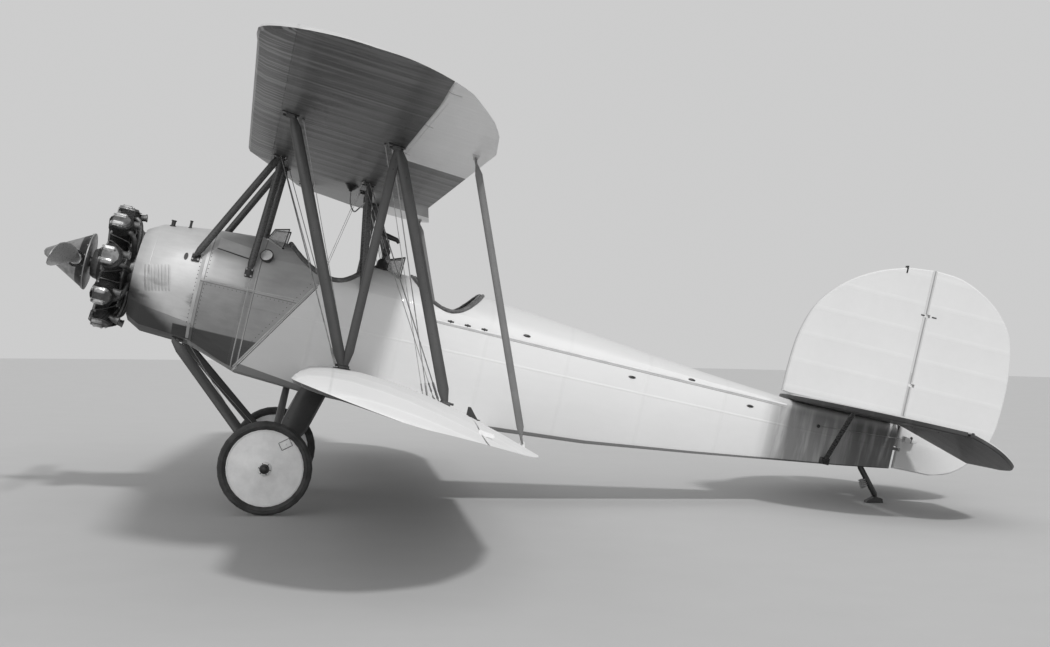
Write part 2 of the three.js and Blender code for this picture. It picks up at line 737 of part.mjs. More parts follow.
// Tailplane and elevators: outlines in plan, x and y for the port side
const TAILPLANE = [
  [6405, -60],
  [6470, -500],
  [6640, -1000],
  [6860, -1380],
  [7080, -1600],
  [7240, -1680],
  [7392, -1716],
];
const ELEVATOR = [
  [7440, -74],
  [7440, -1716],
  [7545, -1778],
  [7660, -1780],
  [7790, -1706],
  [7930, -1560],
  [8000, -1410],
  [8036, -1000],
  [8050, -440],
];
const tailplane = plateXY(
  [...eased(TAILPLANE, 0, 6, 3), ...eased(TAILPLANE, 0, 6, 3).map(([x, y]) => [x, -y]).reverse()],
  TAIL.z - TAIL.thick / 2,
  TAIL.z + TAIL.thick / 2,
  11,
);
{
  const lugs = TAIL.lugs
    .flatMap((y) => [-y, y])
    .map((y) =>
      union([
        block(7376, TAIL.hinge, y - 12, y + 12, TAIL.z - 7, TAIL.z + 7),
        rod(V(TAIL.hinge, y - 12, TAIL.z), V(TAIL.hinge, y + 12, TAIL.z), 11, 12),
      ]),
    );
  add("tailplane", union([tailplane, ...lugs]), CREAM);
  const turn = (s) => {
    const g = s.translate([-TAIL.hinge, 0, -TAIL.z]);
    return g.rotate([0, (TAIL.droop * 180) / Math.PI, 0]).translate([TAIL.hinge, 0, TAIL.z]);
  };
  const flat = plateXY(eased(ELEVATOR, 1, 7, 3), TAIL.z - 20, TAIL.z + 20, 9);
  const nose = rod(V(TAIL.hinge, -74, TAIL.z), V(TAIL.hinge, -1716, TAIL.z), 20, 16);
  const half = 12 + GAP;
  const slotAt = (y) => rod(V(TAIL.hinge, -y - half, TAIL.z), V(TAIL.hinge, -y + half, TAIL.z), 34, 16);
  const slots = TAIL.lugs.map(slotAt);
  const left = turn(flat.add(nose).subtract(union(slots)));
  const tube = rod(V(TAIL.hinge, -80, TAIL.z), V(TAIL.hinge, 80, TAIL.z), TAIL.tube, 16);
  add("elevators", union([left, mirrored(left), tube]), CREAM);
}
for (const [name, side] of SIDES) {
  const s = strut(V(6830, -70, -256), V(6760, -760, TAIL.z - 18), 24, 50, 60);
  add("tail_brace_" + name, onSide(trim(s, [tailplane, 0, 0, -1], [bodyBoth, 0, -1, -1]), side), DARK);
}

// Undercarriage
const groundZ = (x) =>
  WHEEL.z + ((x - WHEEL.x) * Math.sin(PITCH) - WHEEL.r) / Math.cos(PITCH);
{
  const yw = WHEEL.track / 2;
  const hub = V(WHEEL.x, -yw, WHEEL.z);
  const inner = V(WHEEL.x, -yw + 118, WHEEL.z);
  for (const [name, side] of SIDES) {
    const drag = strut(V(968, -380, -484), inner.clone().add(V(-62, 0, 40)), 40, 92, 110);
    const carrier = (grow) =>
      union([
        rod(V(WHEEL.x, -AXLE.inner, -640), inner, AXLE.r + 4 + grow, 12),
        rod(inner.clone().add(V(0, 20, 0)), hub.clone().add(V(0, -72, 0)), AXLE.r + grow, 16),
        rod(inner.clone().add(V(-80 - grow, 0, 46)), inner.clone().add(V(70 + grow, 0, 40)), 30 + grow, 10),
      ]);
    const around = carrier(GAP);
    const seat = (s) =>
      trim(s.subtract(around), [bodyBoth, 0, 0, -1], [cowlBoth, 0, 0, -1], [lower.wing, 0, 0, -1]);
    const axle = trim(carrier(0), [bodyBoth, 0, 0, -1]);
    const leg = loft(
      [
        [0, 0.8],
        [0.1, 1],
        [0.55, 1],
        [0.72, 0.72],
        [1, 0.6],
      ].map(([t, k]) => {
        const a = V(2206, -520, -560);
        const b = inner.clone().add(V(40, 0, 70));
        const dir = b.clone().sub(a).normalize();
        return ringAt(a.clone().lerp(b, t), dir, V(1, 0, 0), 62 * k, 112 * k, 14);
      }),
    );
    add("gear_strut_" + name, onSide(seat(drag), side), DARK);
    add("shock_leg_" + name, onSide(seat(leg), side), DARK);
    add("axle_" + name, onSide(axle, side), DARK);
    const w = WHEEL.width / 2;
    const tyre = turned(
      [
        [WHEEL.rim, -w * 0.55],
        [WHEEL.r - 42, -w * 0.98],
        [WHEEL.r - 16, -w * 0.8],
        [WHEEL.r, -w * 0.34],
        [WHEEL.r, w * 0.34],
        [WHEEL.r - 16, w * 0.8],
        [WHEEL.r - 42, w * 0.98],
        [WHEEL.rim, w * 0.55],
        [WHEEL.rim, -w * 0.55],
      ],
      hub,
      V(0, -1, 0),
      32,
    );
    const disc = turned(
      [
        [AXLE.bore, -74],
        [52, -74],
        [60, -62],
        [WHEEL.rim - GAP, -w * 0.5],
        [WHEEL.rim - GAP, w * 0.5],
        [60, 70],
        [48, 86],
        [AXLE.bore, 86],
        [AXLE.bore, -74],
      ],
      hub,
      V(0, -1, 0),
      32,
    );
    add("tyre_" + name, onSide(tyre, side), BLACK);
    add("wheel_disc_" + name, onSide(disc, side), CREAM);
  }
}

// Tail skid
{
  const low = (x, up) => V(x, 0, groundZ(x) + up);
  const bar = trim(strut(V(SKID_X, 0, -190), low(7420, 44), 46, 54, 40), [body, 0, 0, -1]);
  const shoe = plateXZ(
    [
      [7330, groundZ(7330)],
      [7330, groundZ(7330) + 20],
      [7400, groundZ(7400) + 62],
      [7470, groundZ(7470) + 40],
      [7486, groundZ(7486)],
    ],
    -38,
    38,
  );
  add("tail_skid", bar.add(shoe), DARK);
}

// The airframe onto the floor
const part = new THREE.Group();
part.name = "biplane";
craft.position.set(0, 0, 0);
craft.updateMatrix();
const axleAt = V(WHEEL.x, 0, WHEEL.z).applyMatrix4(craft.matrix);
craft.position.set(-CENTRE_X - axleAt.x, 0, WHEEL.r - axleAt.z);
part.add(craft);

export default part;
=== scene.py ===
import json
import math
import random

import bmesh
import bpy
from mathutils import Matrix, Vector
from mathutils.bvhtree import BVHTree


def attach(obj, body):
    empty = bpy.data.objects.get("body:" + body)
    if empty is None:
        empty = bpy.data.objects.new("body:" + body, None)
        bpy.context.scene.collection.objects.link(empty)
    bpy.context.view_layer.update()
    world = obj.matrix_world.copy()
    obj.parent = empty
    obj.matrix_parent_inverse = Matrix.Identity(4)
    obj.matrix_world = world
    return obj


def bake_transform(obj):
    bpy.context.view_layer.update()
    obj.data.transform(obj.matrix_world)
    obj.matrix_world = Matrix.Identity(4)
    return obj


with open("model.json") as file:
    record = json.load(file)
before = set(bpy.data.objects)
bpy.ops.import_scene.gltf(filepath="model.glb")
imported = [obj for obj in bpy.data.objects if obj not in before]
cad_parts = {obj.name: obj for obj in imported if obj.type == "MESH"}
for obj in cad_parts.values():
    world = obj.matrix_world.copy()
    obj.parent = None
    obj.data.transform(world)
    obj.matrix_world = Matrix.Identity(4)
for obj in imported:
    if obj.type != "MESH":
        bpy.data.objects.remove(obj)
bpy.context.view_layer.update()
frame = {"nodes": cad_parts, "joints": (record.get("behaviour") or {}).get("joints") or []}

NODES = frame["nodes"]
PROPELLER = next(j for j in frame["joints"] if j["name"] == "propeller_spin")

# The airframe's own frame: x aft from the propeller's disc, y to starboard, z up from the thrust line
HUB = Vector(PROPELLER["pos_m"])
AFT = Vector(PROPELLER["axis"])
UP = Vector((-AFT.z, 0.0, AFT.x))
SIDE = Vector((0.0, 1.0, 0.0))
X, Y, Z = (Vector(way) for way in ((1, 0, 0), (0, 1, 0), (0, 0, 1)))
SIDES = (("left", -1), ("right", 1))


def V(x, y, z):
    return Vector((x, y, z))


def C(x, y, z):
    """A point of the airframe's frame, in the row frame."""
    return HUB + AFT * x + SIDE * y + UP * z


def craft(p):
    """The same the other way round."""
    q = Vector(p) - HUB
    return V(q.dot(AFT), q.y, q.dot(UP))


def added(name, data):
    obj = bpy.data.objects.new(name, data)
    bpy.context.scene.collection.objects.link(obj)
    return obj


# Camera and light
def camera():
    yaw, roll = math.radians(7.259), math.radians(1.036)
    ahead = V(math.sin(yaw), math.cos(yaw), 0.0)
    right = V(math.cos(yaw), -math.sin(yaw), 0.0)
    across = right * math.cos(roll) + Z * math.sin(roll)
    upward = Z * math.cos(roll) - right * math.sin(roll)
    cam = bpy.data.cameras.new("camera")
    cam.sensor_width, cam.lens, cam.clip_end = 36.0, 52.13, 200.0
    place = Matrix((across, upward, -ahead)).transposed().to_4x4()
    place.translation = (-1.9015, -13.442, 1.586)
    obj = added("camera", cam)
    obj.matrix_world = place
    bpy.context.scene.camera = obj


SUNS = [
    # name, strength, spread, direction, place
    ("key", 1.75, 0.10, (-0.26, 0.65, -0.71), (-3.0, -6.0, 12.0)),
    ("fill", 0.95, 1.10, (0.05, 0.96, -0.20), (-2.0, -16.0, 5.0)),
]


def lights():
    world = bpy.data.worlds.new("studio")
    world.use_nodes = True
    back = world.node_tree.nodes["Background"]
    back.inputs["Color"].default_value = (0.80, 0.80, 0.80, 1.0)
    back.inputs["Strength"].default_value = 0.76
    bpy.context.scene.world = world
    bpy.context.scene.view_settings.view_transform = "Standard"
    for name, strength, spread, way, place in SUNS:
        sun = bpy.data.lights.new(name, "SUN")
        sun.energy, sun.angle = strength, spread
        obj = added(name, sun)
        obj.rotation_mode = "QUATERNION"
        obj.rotation_quaternion = Vector(way).to_track_quat("-Z", "Y")
        obj.location = place


camera()
lights()


# Materials: every one is grey, made from numbers along the airframe
class Value:
    """A socket that can be added, multiplied and so on."""

    def __init__(self, mat, socket):
        self.mat, self.socket = mat, socket

    def __add__(self, o):
        return self.mat.math("ADD", self, o)

    def __sub__(self, o):
        return self.mat.math("SUBTRACT", self, o)

    def __rsub__(self, o):
        return self.mat.math("SUBTRACT", o, self)

    def __mul__(self, o):
        return self.mat.math("MULTIPLY", self, o)

    def __truediv__(self, o):
        return self.mat.math("DIVIDE", self, o)

    __radd__, __rmul__ = __add__, __mul__


class Mat:
    """A material, with the distances along the airframe's axes to draw it by."""

    def __init__(self, name, slot):
        self.slot = slot
        self.data = bpy.data.materials.new(name)
        self.data.use_nodes = True
        self.tree = self.data.node_tree
        self.tree.nodes.clear()
        self.bsdf = self.node("ShaderNodeBsdfPrincipled")
        out = self.node("ShaderNodeOutputMaterial")
        self.tree.links.new(self.bsdf.outputs[0], out.inputs["Surface"])
        coords = self.node("ShaderNodeTexCoord")
        self.place = coords.outputs["Object"]
        self.x, self.y, self.z = (self.dot(self.place, way) - HUB.dot(way) for way in (AFT, SIDE, UP))
        self.span = self.math("ABSOLUTE", self.y)
        self.facing_up = self.dot(coords.outputs["Normal"], UP)

    def node(self, kind, **values):
        made = self.tree.nodes.new(kind)
        for key, value in values.items():
            if key in made.inputs:
                self.put(made.inputs[key], value)
            else:
                setattr(made, key, value)
        return made

    def put(self, socket, value):
        value = getattr(value, "socket", value)
        if isinstance(value, bpy.types.NodeSocket):
            self.tree.links.new(value, socket)
        else:
            socket.default_value = value

    def math(self, operation, *values):
        made = self.node("ShaderNodeMath", operation=operation)
        for socket, value in zip(made.inputs, values):
            self.put(socket, value)
        return Value(self, made.outputs[0])

    def dot(self, *vectors):
        made = self.node("ShaderNodeVectorMath", operation="DOT_PRODUCT")
        for socket, vector in zip(made.inputs, vectors):
            self.put(socket, vector)
        return Value(self, made.outputs["Value"])

    def step(self, v, edge, soft):
        """0 below edge and 1 above it, over the width soft."""
        made = self.node("ShaderNodeMapRange", interpolation_type="SMOOTHSTEP", Value=v)
        self.put(made.inputs["From Min"], edge - soft / 2)
        self.put(made.inputs["From Max"], edge + soft / 2)
        return Value(self, made.outputs["Result"])

    def under(self, v, edge, soft):
        return 1.0 - self.step(v, edge, soft)

    def band(self, v, low, high, soft=0.004):
        return self.step(v, low, soft) * self.under(v, high, soft)

    def mix(self, k, a, b):
        return a + (b - a) * k

    def lines(self, v, pitch, width, start=0.0, soft=0.004):
        """1 on lines of that width, one pitch apart."""
        part = self.math("FRACT", (v - start) / pitch + 0.5) - 0.5
        return self.under(self.math("ABSOLUTE", part), (width / 2) / pitch, soft / pitch)

    def wave(self, v, pitch, start=0.0):
        """0 at each line and 1 half way between two."""
        return self.math("ABSOLUTE", self.math("SINE", (v - start) * (math.pi / pitch)))

    def noise(self, scale, stretch=(1.0, 1.0, 1.0), detail=4.0, rough=0.55):
        """Smooth noise from 0 to 1, drawn out along the airframe's axes by stretch."""
        joined = self.node("ShaderNodeCombineXYZ")
        for socket, v, k in zip(joined.inputs, (self.x, self.y, self.z), stretch):
            self.put(socket, v * k if k != 1.0 else v)
        look = {"Scale": scale, "Detail": detail, "Roughness": rough}
        return Value(self, self.node("ShaderNodeTexNoise", Vector=joined.outputs[0], **look).outputs[0])

    def cells(self, scale):
        made = self.node("ShaderNodeTexVoronoi", Vector=self.place, Scale=scale)
        return Value(self, made.outputs["Distance"])

    def rounded(self, radius):
        return self.node("ShaderNodeBevel", samples=4, Radius=radius).outputs[0]

    def edges(self, radius):
        """1 along sharp edges, from how a rounded normal leaves the true one."""
        true = self.node("ShaderNodeNewGeometry").outputs["Normal"]
        return self.under(self.dot(self.rounded(radius), true), 0.93, 0.12)

    def done(self, tone, rough, height, metal=0.0, specular=0.5, coat=0.0, sheen=0.0, rounded=0.0):
        """tone, rough and height, in metres, may be drawn; the other values are the same all over."""
        grey = self.node("ShaderNodeCombineColor", Red=tone, Green=tone, Blue=tone).outputs[0]
        keys = ("Base Color", "Roughness", "Metallic", "Specular IOR Level", "Coat Weight", "Sheen Weight")
        for key, value in zip(keys, (grey, rough, metal, specular, coat, sheen)):
            self.put(self.bsdf.inputs[key], value)
        if height is not None:
            bump = self.node("ShaderNodeBump", Strength=1.0, Distance=1.0, Height=height)
            if rounded:
                self.put(bump.inputs["Normal"], self.rounded(rounded))
            self.put(self.bsdf.inputs["Normal"], bump.outputs[0])
        return self


RIB, FIRST_RIB = 0.305, 0.08  # between the wings' ribs, and where they start
SPARS = (0.285, 1.056)  # behind the leading edge
THREADS, WEAVE_DEPTH = 2600.0, 0.00012
SWEEP, UPPER_LEAD, UPPER_CHORD = 0.0565, 1.175, 1.641  # leading edges are at the root
LOWER_LEAD, LOWER_CHORD = 2.080, 1.662
# the wings' dark tone beneath is painted shade; the ailerons keep their light cloth beneath
UPPER_TONE, LOWER_TONE, UNDER_SHADE_TONE, AILERON_TONE = 0.52, 0.70, 0.014, 0.66


def weave(m):
    """Doped cloth: fine threads that cross, mostly filled."""
    threads = m.math("SINE", m.x * THREADS) * m.math("SINE", m.span * THREADS)
    return threads * (WEAVE_DEPTH / 2) + m.noise(90.0, detail=2.0) * WEAVE_DEPTH


def wing_cloth(name, sweep, lead, chord, top, under, flap):
    """Cloth over ribs: as light on top as top says, and as dark as under says beneath; the wings' dark
    underside is painted shade.
    """
    m = Mat(name, "cream_fabric")
    back = m.x - m.span * sweep - lead  # from the leading edge
    ribs = m.lines(m.span, RIB, 0.045, FIRST_RIB)
    sag = m.wave(m.span, RIB, FIRST_RIB)
    stitches = m.lines(m.span, RIB, 0.006, FIRST_RIB) * m.lines(back, 0.07, 0.012)
    sheet = m.under(back, 0.13 * chord, 0.006)
    cloud = m.noise(1.7, (1.0, 0.6, 1.0))
    streak = m.noise(2.2, (0.5, 5.0, 1.0), 6.0, 0.68)
    light = top + (cloud - 0.5) * 0.07 + ribs * 0.03 - sag * 0.012
    light = light - m.step(streak, 0.66, 0.2) * 0.06
    # painted reflections: lighter streaks over the underside
    dark = under + m.step(streak, 0.52, 0.20) * (0.03 if flap else 0.034) + ribs * 0.012
    if not flap:
        light = light - m.band(back, chord * 0.125, chord * 0.135, 0.003) * 0.05
        # painted reflections: lighter fringes across the underside, strongest over the leading edge's sheet
        fringe = m.noise(3.0, (0.30, 7.0, 1.0), 4.0, 0.65)
        dark = dark + m.step(fringe, 0.54, 0.09) * 0.065
        dark = m.mix(sheet, dark, 0.02 + streak * 0.03 + m.step(fringe, 0.54, 0.05) * 0.14)
        for spar in SPARS:
            dark = dark + m.lines(back, 9.0, 0.05, spar) * 0.015
        # painted shade: a mottled band, darker yet, where the aileron's cove begins
        cove = m.band(back, chord - 0.72, chord - 0.49, 0.05) * m.step(m.span, 2.15, 0.1)
        dark = dark * (1.0 - cove * 0.35)
    # painted shade: the underside takes the dark tone and the top the light one
    upper = m.step(m.facing_up, -0.12, 0.16)
    height = sag * (-0.0018 if flap else -0.0035) * (1.0 - sheet * 0.8)
    height = height + m.step(ribs, 0.5, 0.4) * 0.0004 + stitches * 0.0007 + weave(m)
    rough = m.mix(upper, 0.26 + streak * 0.2, 0.54 + cloud * 0.12)
    return m.done(m.mix(upper, dark, light), rough, height, coat=0.04)


def body_cloth(name):
    """Cloth over the fuselage's stringers, aft of the slanting seam."""
    m = Mat(name, "cream_fabric")
    seam = 1.52 + (m.z + 0.58) * 0.64
    cloth = m.step(m.x, seam, 0.006)
    rim = m.band(m.x, seam - 0.004, seam + 0.016, 0.005)
    cloud = m.noise(1.1, (0.7, 1.0, 1.4))
    fine = m.noise(14.0, (0.5, 1.0, 1.6), 5.0)
    # painted shade: a little darker low down on the sides
    low = m.under(m.z, -0.05 + (m.x - 2.3) * 0.02, 0.5)
    tone = 0.66 + (cloud - 0.5) * 0.08 + (fine - 0.5) * 0.03 - low * 0.03
    # an upright frame shows through now and then, and a stringer low down
    frames = m.lines(m.x, 0.74, 0.03, 2.08, 0.02)
    rise = (m.x - 2.0) * 0.012
    stringer = m.band(m.z, rise - 0.065, rise - 0.05, 0.01)
    tone = tone - frames * 0.015 + stringer * 0.02
    # painted shadow of the tailplane under the stern, mottled and deeper aft, and painted shade on the belly
    # and on the deck's top
    belly = m.under(m.facing_up, -0.6, 0.3)
    streaks = m.step(m.noise(3.0, (5.0, 1.0, 0.6), 5.0), 0.42, 0.3)
    stern_shadow = m.step(m.x, 6.25, 0.25) * m.under(m.z, 0.20, 0.12) * (0.6 + streaks * 0.4)
    tone = tone * (1.0 - stern_shadow * 0.62) * (1.0 - belly * 0.60)
    tone = tone * (1.0 - stern_shadow * m.step(m.x, 7.0, 0.2) * 0.5)
    tone = tone * (1.0 - m.step(m.facing_up, 0.45, 0.5) * 0.16)
    tone = m.mix(rim, m.mix(cloth, metal_tone(m), tone), 0.72)
    rough = m.mix(cloth, 0.33 + fine * 0.12, 0.46 + fine * 0.12)
    height = weave(m) * cloth + frames * 0.001 + stringer * 0.0015 + rim * 0.0005 + cloud * 0.004
    height = height + metal_height(m) * (1.0 - cloth)
    return m.done(tone, rough, height, coat=0.1)


BAND_TOP = -0.344  # of the dark band low down on the nose


def metal_tone(m):
    """Sheet panels of the nose: a bright band and a lighter top as painted reflection, a dark band low down,
    and seams drawn with a painted highlight on one edge and painted shade on the other.
    """
    fine = m.noise(9.0, (0.6, 1.0, 2.4), 5.0, 0.62)
    cloud = m.noise(2.1)
    tone = 0.24 + (cloud - 0.5) * 0.24 + (fine - 0.5) * 0.10
    # painted reflection: a bright band on the forward panels and a lighter top
    tone = tone + m.band(m.z, 0.08, 0.30, 0.08) * m.under(m.x, 1.40, 0.5) * 0.34
    tone = tone + m.step(m.x, 1.53, 0.006) * 0.07 + m.step(m.z, 0.28, 0.2) * 0.09
    keel = m.step(m.z, -0.486 - (m.x - 1.0) * 0.22, 0.012)
    tone = m.mix(m.under(m.z, BAND_TOP, 0.012) * keel, tone, 0.045 + fine * 0.03)
    tone = m.mix(1.0 - keel, tone, 0.26)
    # painted highlight on one edge of each seam, and painted shade on the other
    bright = m.band(m.z, 0.060, 0.072) + m.band(m.x, 1.085, 1.105)
    bright = bright + m.band(m.x, 1.478, 1.490, 0.003) + m.band(m.x, 1.520, 1.532, 0.003)
    tone = tone + m.math("MINIMUM", bright, 1.0) * 0.04
    shade = m.band(m.z, 0.052, 0.060) + m.band(m.x, 1.105, 1.113, 0.003) + m.band(m.x, 1.532, 1.54, 0.003)
    return tone * (1.0 - m.math("MINIMUM", shade, 1.0) * 0.5)


def metal_height(m):
    laps = m.step(m.x, 1.094, 0.003) * 0.0012 + m.band(m.x, 1.474, 1.536, 0.003) * 0.0012
    heads = m.band(m.x, 1.120, 1.130, 0.003) + m.band(m.x, 1.462, 1.472, 0.003)
    heads = (heads + m.band(m.x, 1.502, 1.51, 0.002)) * m.lines(m.z, 0.035, 0.011, 0.0, 0.003)
    return laps + heads * 0.0009 + m.noise(4.5, (1.0, 1.0, 1.2), 2.0) * 0.006


def nose_sheet(name):
    m = Mat(name, "painted_sheet")
    fine = m.noise(12.0, (0.5, 1.0, 3.0), 6.0, 0.65)
    return m.done(metal_tone(m), 0.30 + fine * 0.14, metal_height(m), metal=0.25, specular=0.6)


def cowl_sheet(name):
    """The polished ring behind the engine: a painted reflection, light above and aft and dark below and
    forward, with darker mottled patches low down.
    """
    m = Mat(name, "painted_sheet")
    fine = m.noise(12.0, (0.5, 1.0, 3.0), 6.0, 0.65)
    cloud = m.noise(3.0)
    # painted reflection: light above and aft, dark below and forward
    painted_lit = m.step(m.z + (m.x - 0.60) * 0.75 + (cloud - 0.5) * 0.16, -0.10, 0.24)
    tone = m.mix(painted_lit, 0.050, 0.50) * (1.0 + (cloud - 0.5) * 0.35 + (fine - 0.5) * 0.25)
    tone = m.mix(m.step(m.x, 0.93, 0.006) * m.under(m.z, BAND_TOP, 0.012), tone, 0.045 + fine * 0.03)
    low_patches = m.step(m.noise(5.0, (0.6, 1.0, 2.0)), 0.58, 0.14) * m.under(m.z, -0.05, 0.3)
    height = cloud * 0.004 + m.lines(m.x, 0.43, 0.006, 0.645) * -0.0008
    return m.done(tone * (1.0 - low_patches * 0.45), 0.36 + fine * 0.22, height, metal=0.3)


def tail_cloth(name, flat):
    """The tail's cloth: ribs across the hinge, on a flat surface along the span, upright on the fin."""
    m = Mat(name, "cream_fabric")
    run, pitch, start = (m.span, 0.28, 0.10) if flat else (m.z, 0.255, 0.10)
    ribs = m.lines(run, pitch, 0.04, start, 0.006)
    stitches = m.lines(run, pitch, 0.006, start) * m.lines(m.x, 0.06, 0.012)
    cloud = m.noise(1.6, (1.0, 1.0, 0.6))
    fine = m.noise(16.0, detail=5.0)
    tone = 0.60 + (cloud - 0.5) * 0.06 + (fine - 0.5) * 0.03 + ribs * 0.012
    if flat:
        # painted shade: the undersides of the tailplane and elevators are near black
        tone = m.mix(m.step(m.facing_up, 0.30, 0.25), 0.018 + fine * 0.02 + ribs * 0.010, tone * 0.8)
    height = m.wave(run, pitch, start) * -0.0015 + ribs * 0.0003 + stitches * 0.0006 + weave(m)
    return m.done(tone, 0.47 + fine * 0.12, height, coat=0.08)


def paint(name, slot, tone, rough, worn, scuff=0.02, metal=0.0):
    """Brushed enamel on tube or wood, rubbed through along its edges."""
    m = Mat(name, slot)
    fine = m.noise(55.0)
    cloud = m.noise(7.0, detail=3.0)
    edge = m.edges(0.004) * m.step(fine, 0.58, 0.2)
    shade = tone + (cloud - 0.5) * tone * 0.5 + (fine - 0.5) * scuff
    shade = m.mix(edge * 0.4, shade, worn)
    return m.done(shade, rough + (fine - 0.5) * 0.25, fine * 0.0006, metal, rounded=0.003)


def bare(name, slot, tone, rough, soot, grain=0.0005, shaded_aft_of=None):
    """Bare or cast metal with soot in its hollows, and painted shade over its back part when asked."""
    m = Mat(name, slot)
    fine = m.noise(120.0, detail=5.0, rough=0.7)
    cloud = m.noise(16.0)
    dirt = m.step(cloud, 0.52, 0.3) * soot
    shade = m.mix(dirt, tone + (fine - 0.5) * 0.16, tone * 0.3) + m.edges(0.003) * 0.12
    # painted shade: darker aft of the given plane
    if shaded_aft_of is not None:
        shade = shade * (1.0 - m.step(m.x, shaded_aft_of, 0.010) * 0.86)
    return m.done(shade, rough + cloud * 0.22, fine * grain, 0.85, rounded=0.002)


def leather(name):
    m = Mat(name, "dark_fabric")
    grain = m.cells(260.0)
    fold = m.noise(24.0)
    tone = 0.07 + m.step(fold, 0.55, 0.2) * 0.06 + (grain - 0.3) * 0.02
    return m.done(tone, 0.42 + fold * 0.2, grain * 0.0012 + fold * 0.002, sheen=0.1)


def canvas(name, tone, pitch):
    m = Mat(name, "dark_fabric")
    threads = m.math("SINE", m.x * pitch) + m.math("SINE", m.y * pitch) + m.math("SINE", m.z * pitch)
    fold = m.noise(9.0)
    tone = tone + (fold - 0.5) * 0.07 + threads * 0.01
    return m.done(tone, 0.86, threads * 0.00025 + fold * 0.003, sheen=0.35)


AXLE_AT = V(1.974, -1.005, -1.300)  # the port wheel's middle


def rubber(name):
    """A tyre with beads on its wall, cuts across its tread, and dust."""
    m = Mat(name, "tyre")
    fine = m.noise(70.0, detail=5.0)
    dust = m.step(m.noise(8.0), 0.5, 0.25)
    wx, wz = m.x - AXLE_AT.x, m.z - AXLE_AT.z
    out = m.math("SQRT", wx * wx + wz * wz)
    beads = m.band(out, 0.318, 0.326, 0.003) + m.band(out, 0.338, 0.342, 0.002)
    tread = m.step(out, 0.371, 0.006) * m.lines(m.y, 0.016, 0.006, 0.0, 0.003)
    tone = 0.042 + dust * 0.03 + (fine - 0.5) * 0.012 + m.step(out, 0.372, 0.01) * 0.02
    height = beads * 0.0014 - tread * 0.003 + fine * 0.0008
    return m.done(tone, 0.66 + fine * 0.2, height, specular=0.35)


def glass(name):
    m = Mat(name, "pane")
    haze = m.noise(20.0, (1.0, 1.0, 4.0))
    m.done(0.62 + haze * 0.08, 0.05 + haze * 0.10, None)
    m.bsdf.inputs["Transmission Weight"].default_value = 0.80
    m.bsdf.inputs["IOR"].default_value = 1.08
    return m


WINGS = [
    # wing, sweep, leading edge, chord, tone on top
    ("upper_", SWEEP, UPPER_LEAD, UPPER_CHORD, UPPER_TONE),
    ("lower_", 0.0, LOWER_LEAD, LOWER_CHORD, LOWER_TONE),
]
M = {}
for part, under, flap in (("wing_cloth", UNDER_SHADE_TONE, False), ("aileron_cloth", AILERON_TONE, True)):
    for wing, *shape in WINGS:
        M[wing + part] = wing_cloth(wing + part, *shape, under, flap)
M.update(
    body=body_cloth("body_cloth"),
    sheet=nose_sheet("nose_sheet"),
    cowl=cowl_sheet("cowl_sheet"),
    fin=tail_cloth("fin_cloth", False),
    tail=tail_cloth("tail_cloth", True),
    # name, slot, tone, roughness, tone of the worn edges, scuffs, metal
    dark=paint("dark_enamel", "dark_paint", 0.035, 0.28, 0.16, 0.010),
    strut=paint("strut_enamel", "dark_paint", 0.058, 0.32, 0.05, 0.012),
    trim=paint("trim_strip", "painted_sheet", 0.42, 0.36, 0.5),
    grey=paint("grey_enamel", "grey_paint", 0.14, 0.34, 0.25),
    light=paint("light_enamel", "painted_sheet", 0.62, 0.36, 0.45),
    disc=paint("disc_enamel", "disc", 0.84, 0.38, 0.4, 0.06),
    black=paint("black_fitting", "dark_paint", 0.02, 0.42, 0.2),
    blade=paint("blade_finish", "bare_metal", 0.50, 0.3, 0.4, metal=0.2),
    panel=paint("panel_crackle", "panel", 0.03, 0.55, 0.1),
    # name, slot, tone, roughness, soot, grain's height
    wire=bare("wire_steel", "wire", 0.46, 0.34, 0.5),
    steel=bare("bare_steel", "bare_metal", 0.34, 0.3, 0.3),
    rocker=bare("rocker_alloy", "bare_metal", 0.58, 0.28, 0.7),
    bright=bare("bright_alloy", "bare_metal", 0.72, 0.2, 0.25),
    cast=bare("cast_alloy", "engine_metal", 0.18, 0.42, 0.6, 0.0012),
    barrel=bare("barrel_iron", "engine_metal", 0.030, 0.5, 0.4, 0.001),
    spinner=bare("spinner_alloy", "bare_metal", 0.36, 0.3, 0.55, shaded_aft_of=0.020),
    leather=leather("leather"),
    canvas=canvas("canvas", 0.13, 1500.0),
    webbing=canvas("webbing", 0.30, 4200.0),
    rubber=rubber("rubber"),
    glass=glass("glass"),
)

# The solids' finishes: material, and how the names of its nodes start
FINISHES = {
    "cowl": "nose_cowl",
    "sheet": "fuselage_nose",
    "body": "fuselage_front fuselage_rear",
    "panel": "front_panel rear_panel",
    "black": "front_seat rear_seat tail_skid",
    "glass": "front_windshield rear_windshield",
    "cast": "engine",
    "spinner": "spinner",
    "blade": "propeller",
    "upper_wing_cloth": "upper_wing_",
    "lower_wing_cloth": "lower_wing_",
    "upper_aileron_cloth": "upper_aileron_",
    "lower_aileron_cloth": "lower_aileron_",
    "grey": "aileron_strut_ axle_",
    "strut": "interplane_struts_ gear_strut_ shock_leg_",
    "dark": "cabane_ tail_brace_",
    "wire": "landing_wire_ flying_wire_",
    "fin": "fin rudder",
    "tail": "tailplane elevators",
    "rubber": "tyre_",
    "disc": "wheel_disc_",
}


def finish_nodes():
    for name, obj in NODES.items():
        key = next(mat for mat, stems in FINISHES.items() if name.startswith(tuple(stems.split())))
        obj.data.materials.clear()
        obj.data.materials.append(M[key].data)
        smooth(obj.data)
        obj.modifiers.new("weld", "WELD").merge_threshold = 0.00002
        obj.modifiers.new("split", "EDGE_SPLIT").split_angle = math.radians(26.0)


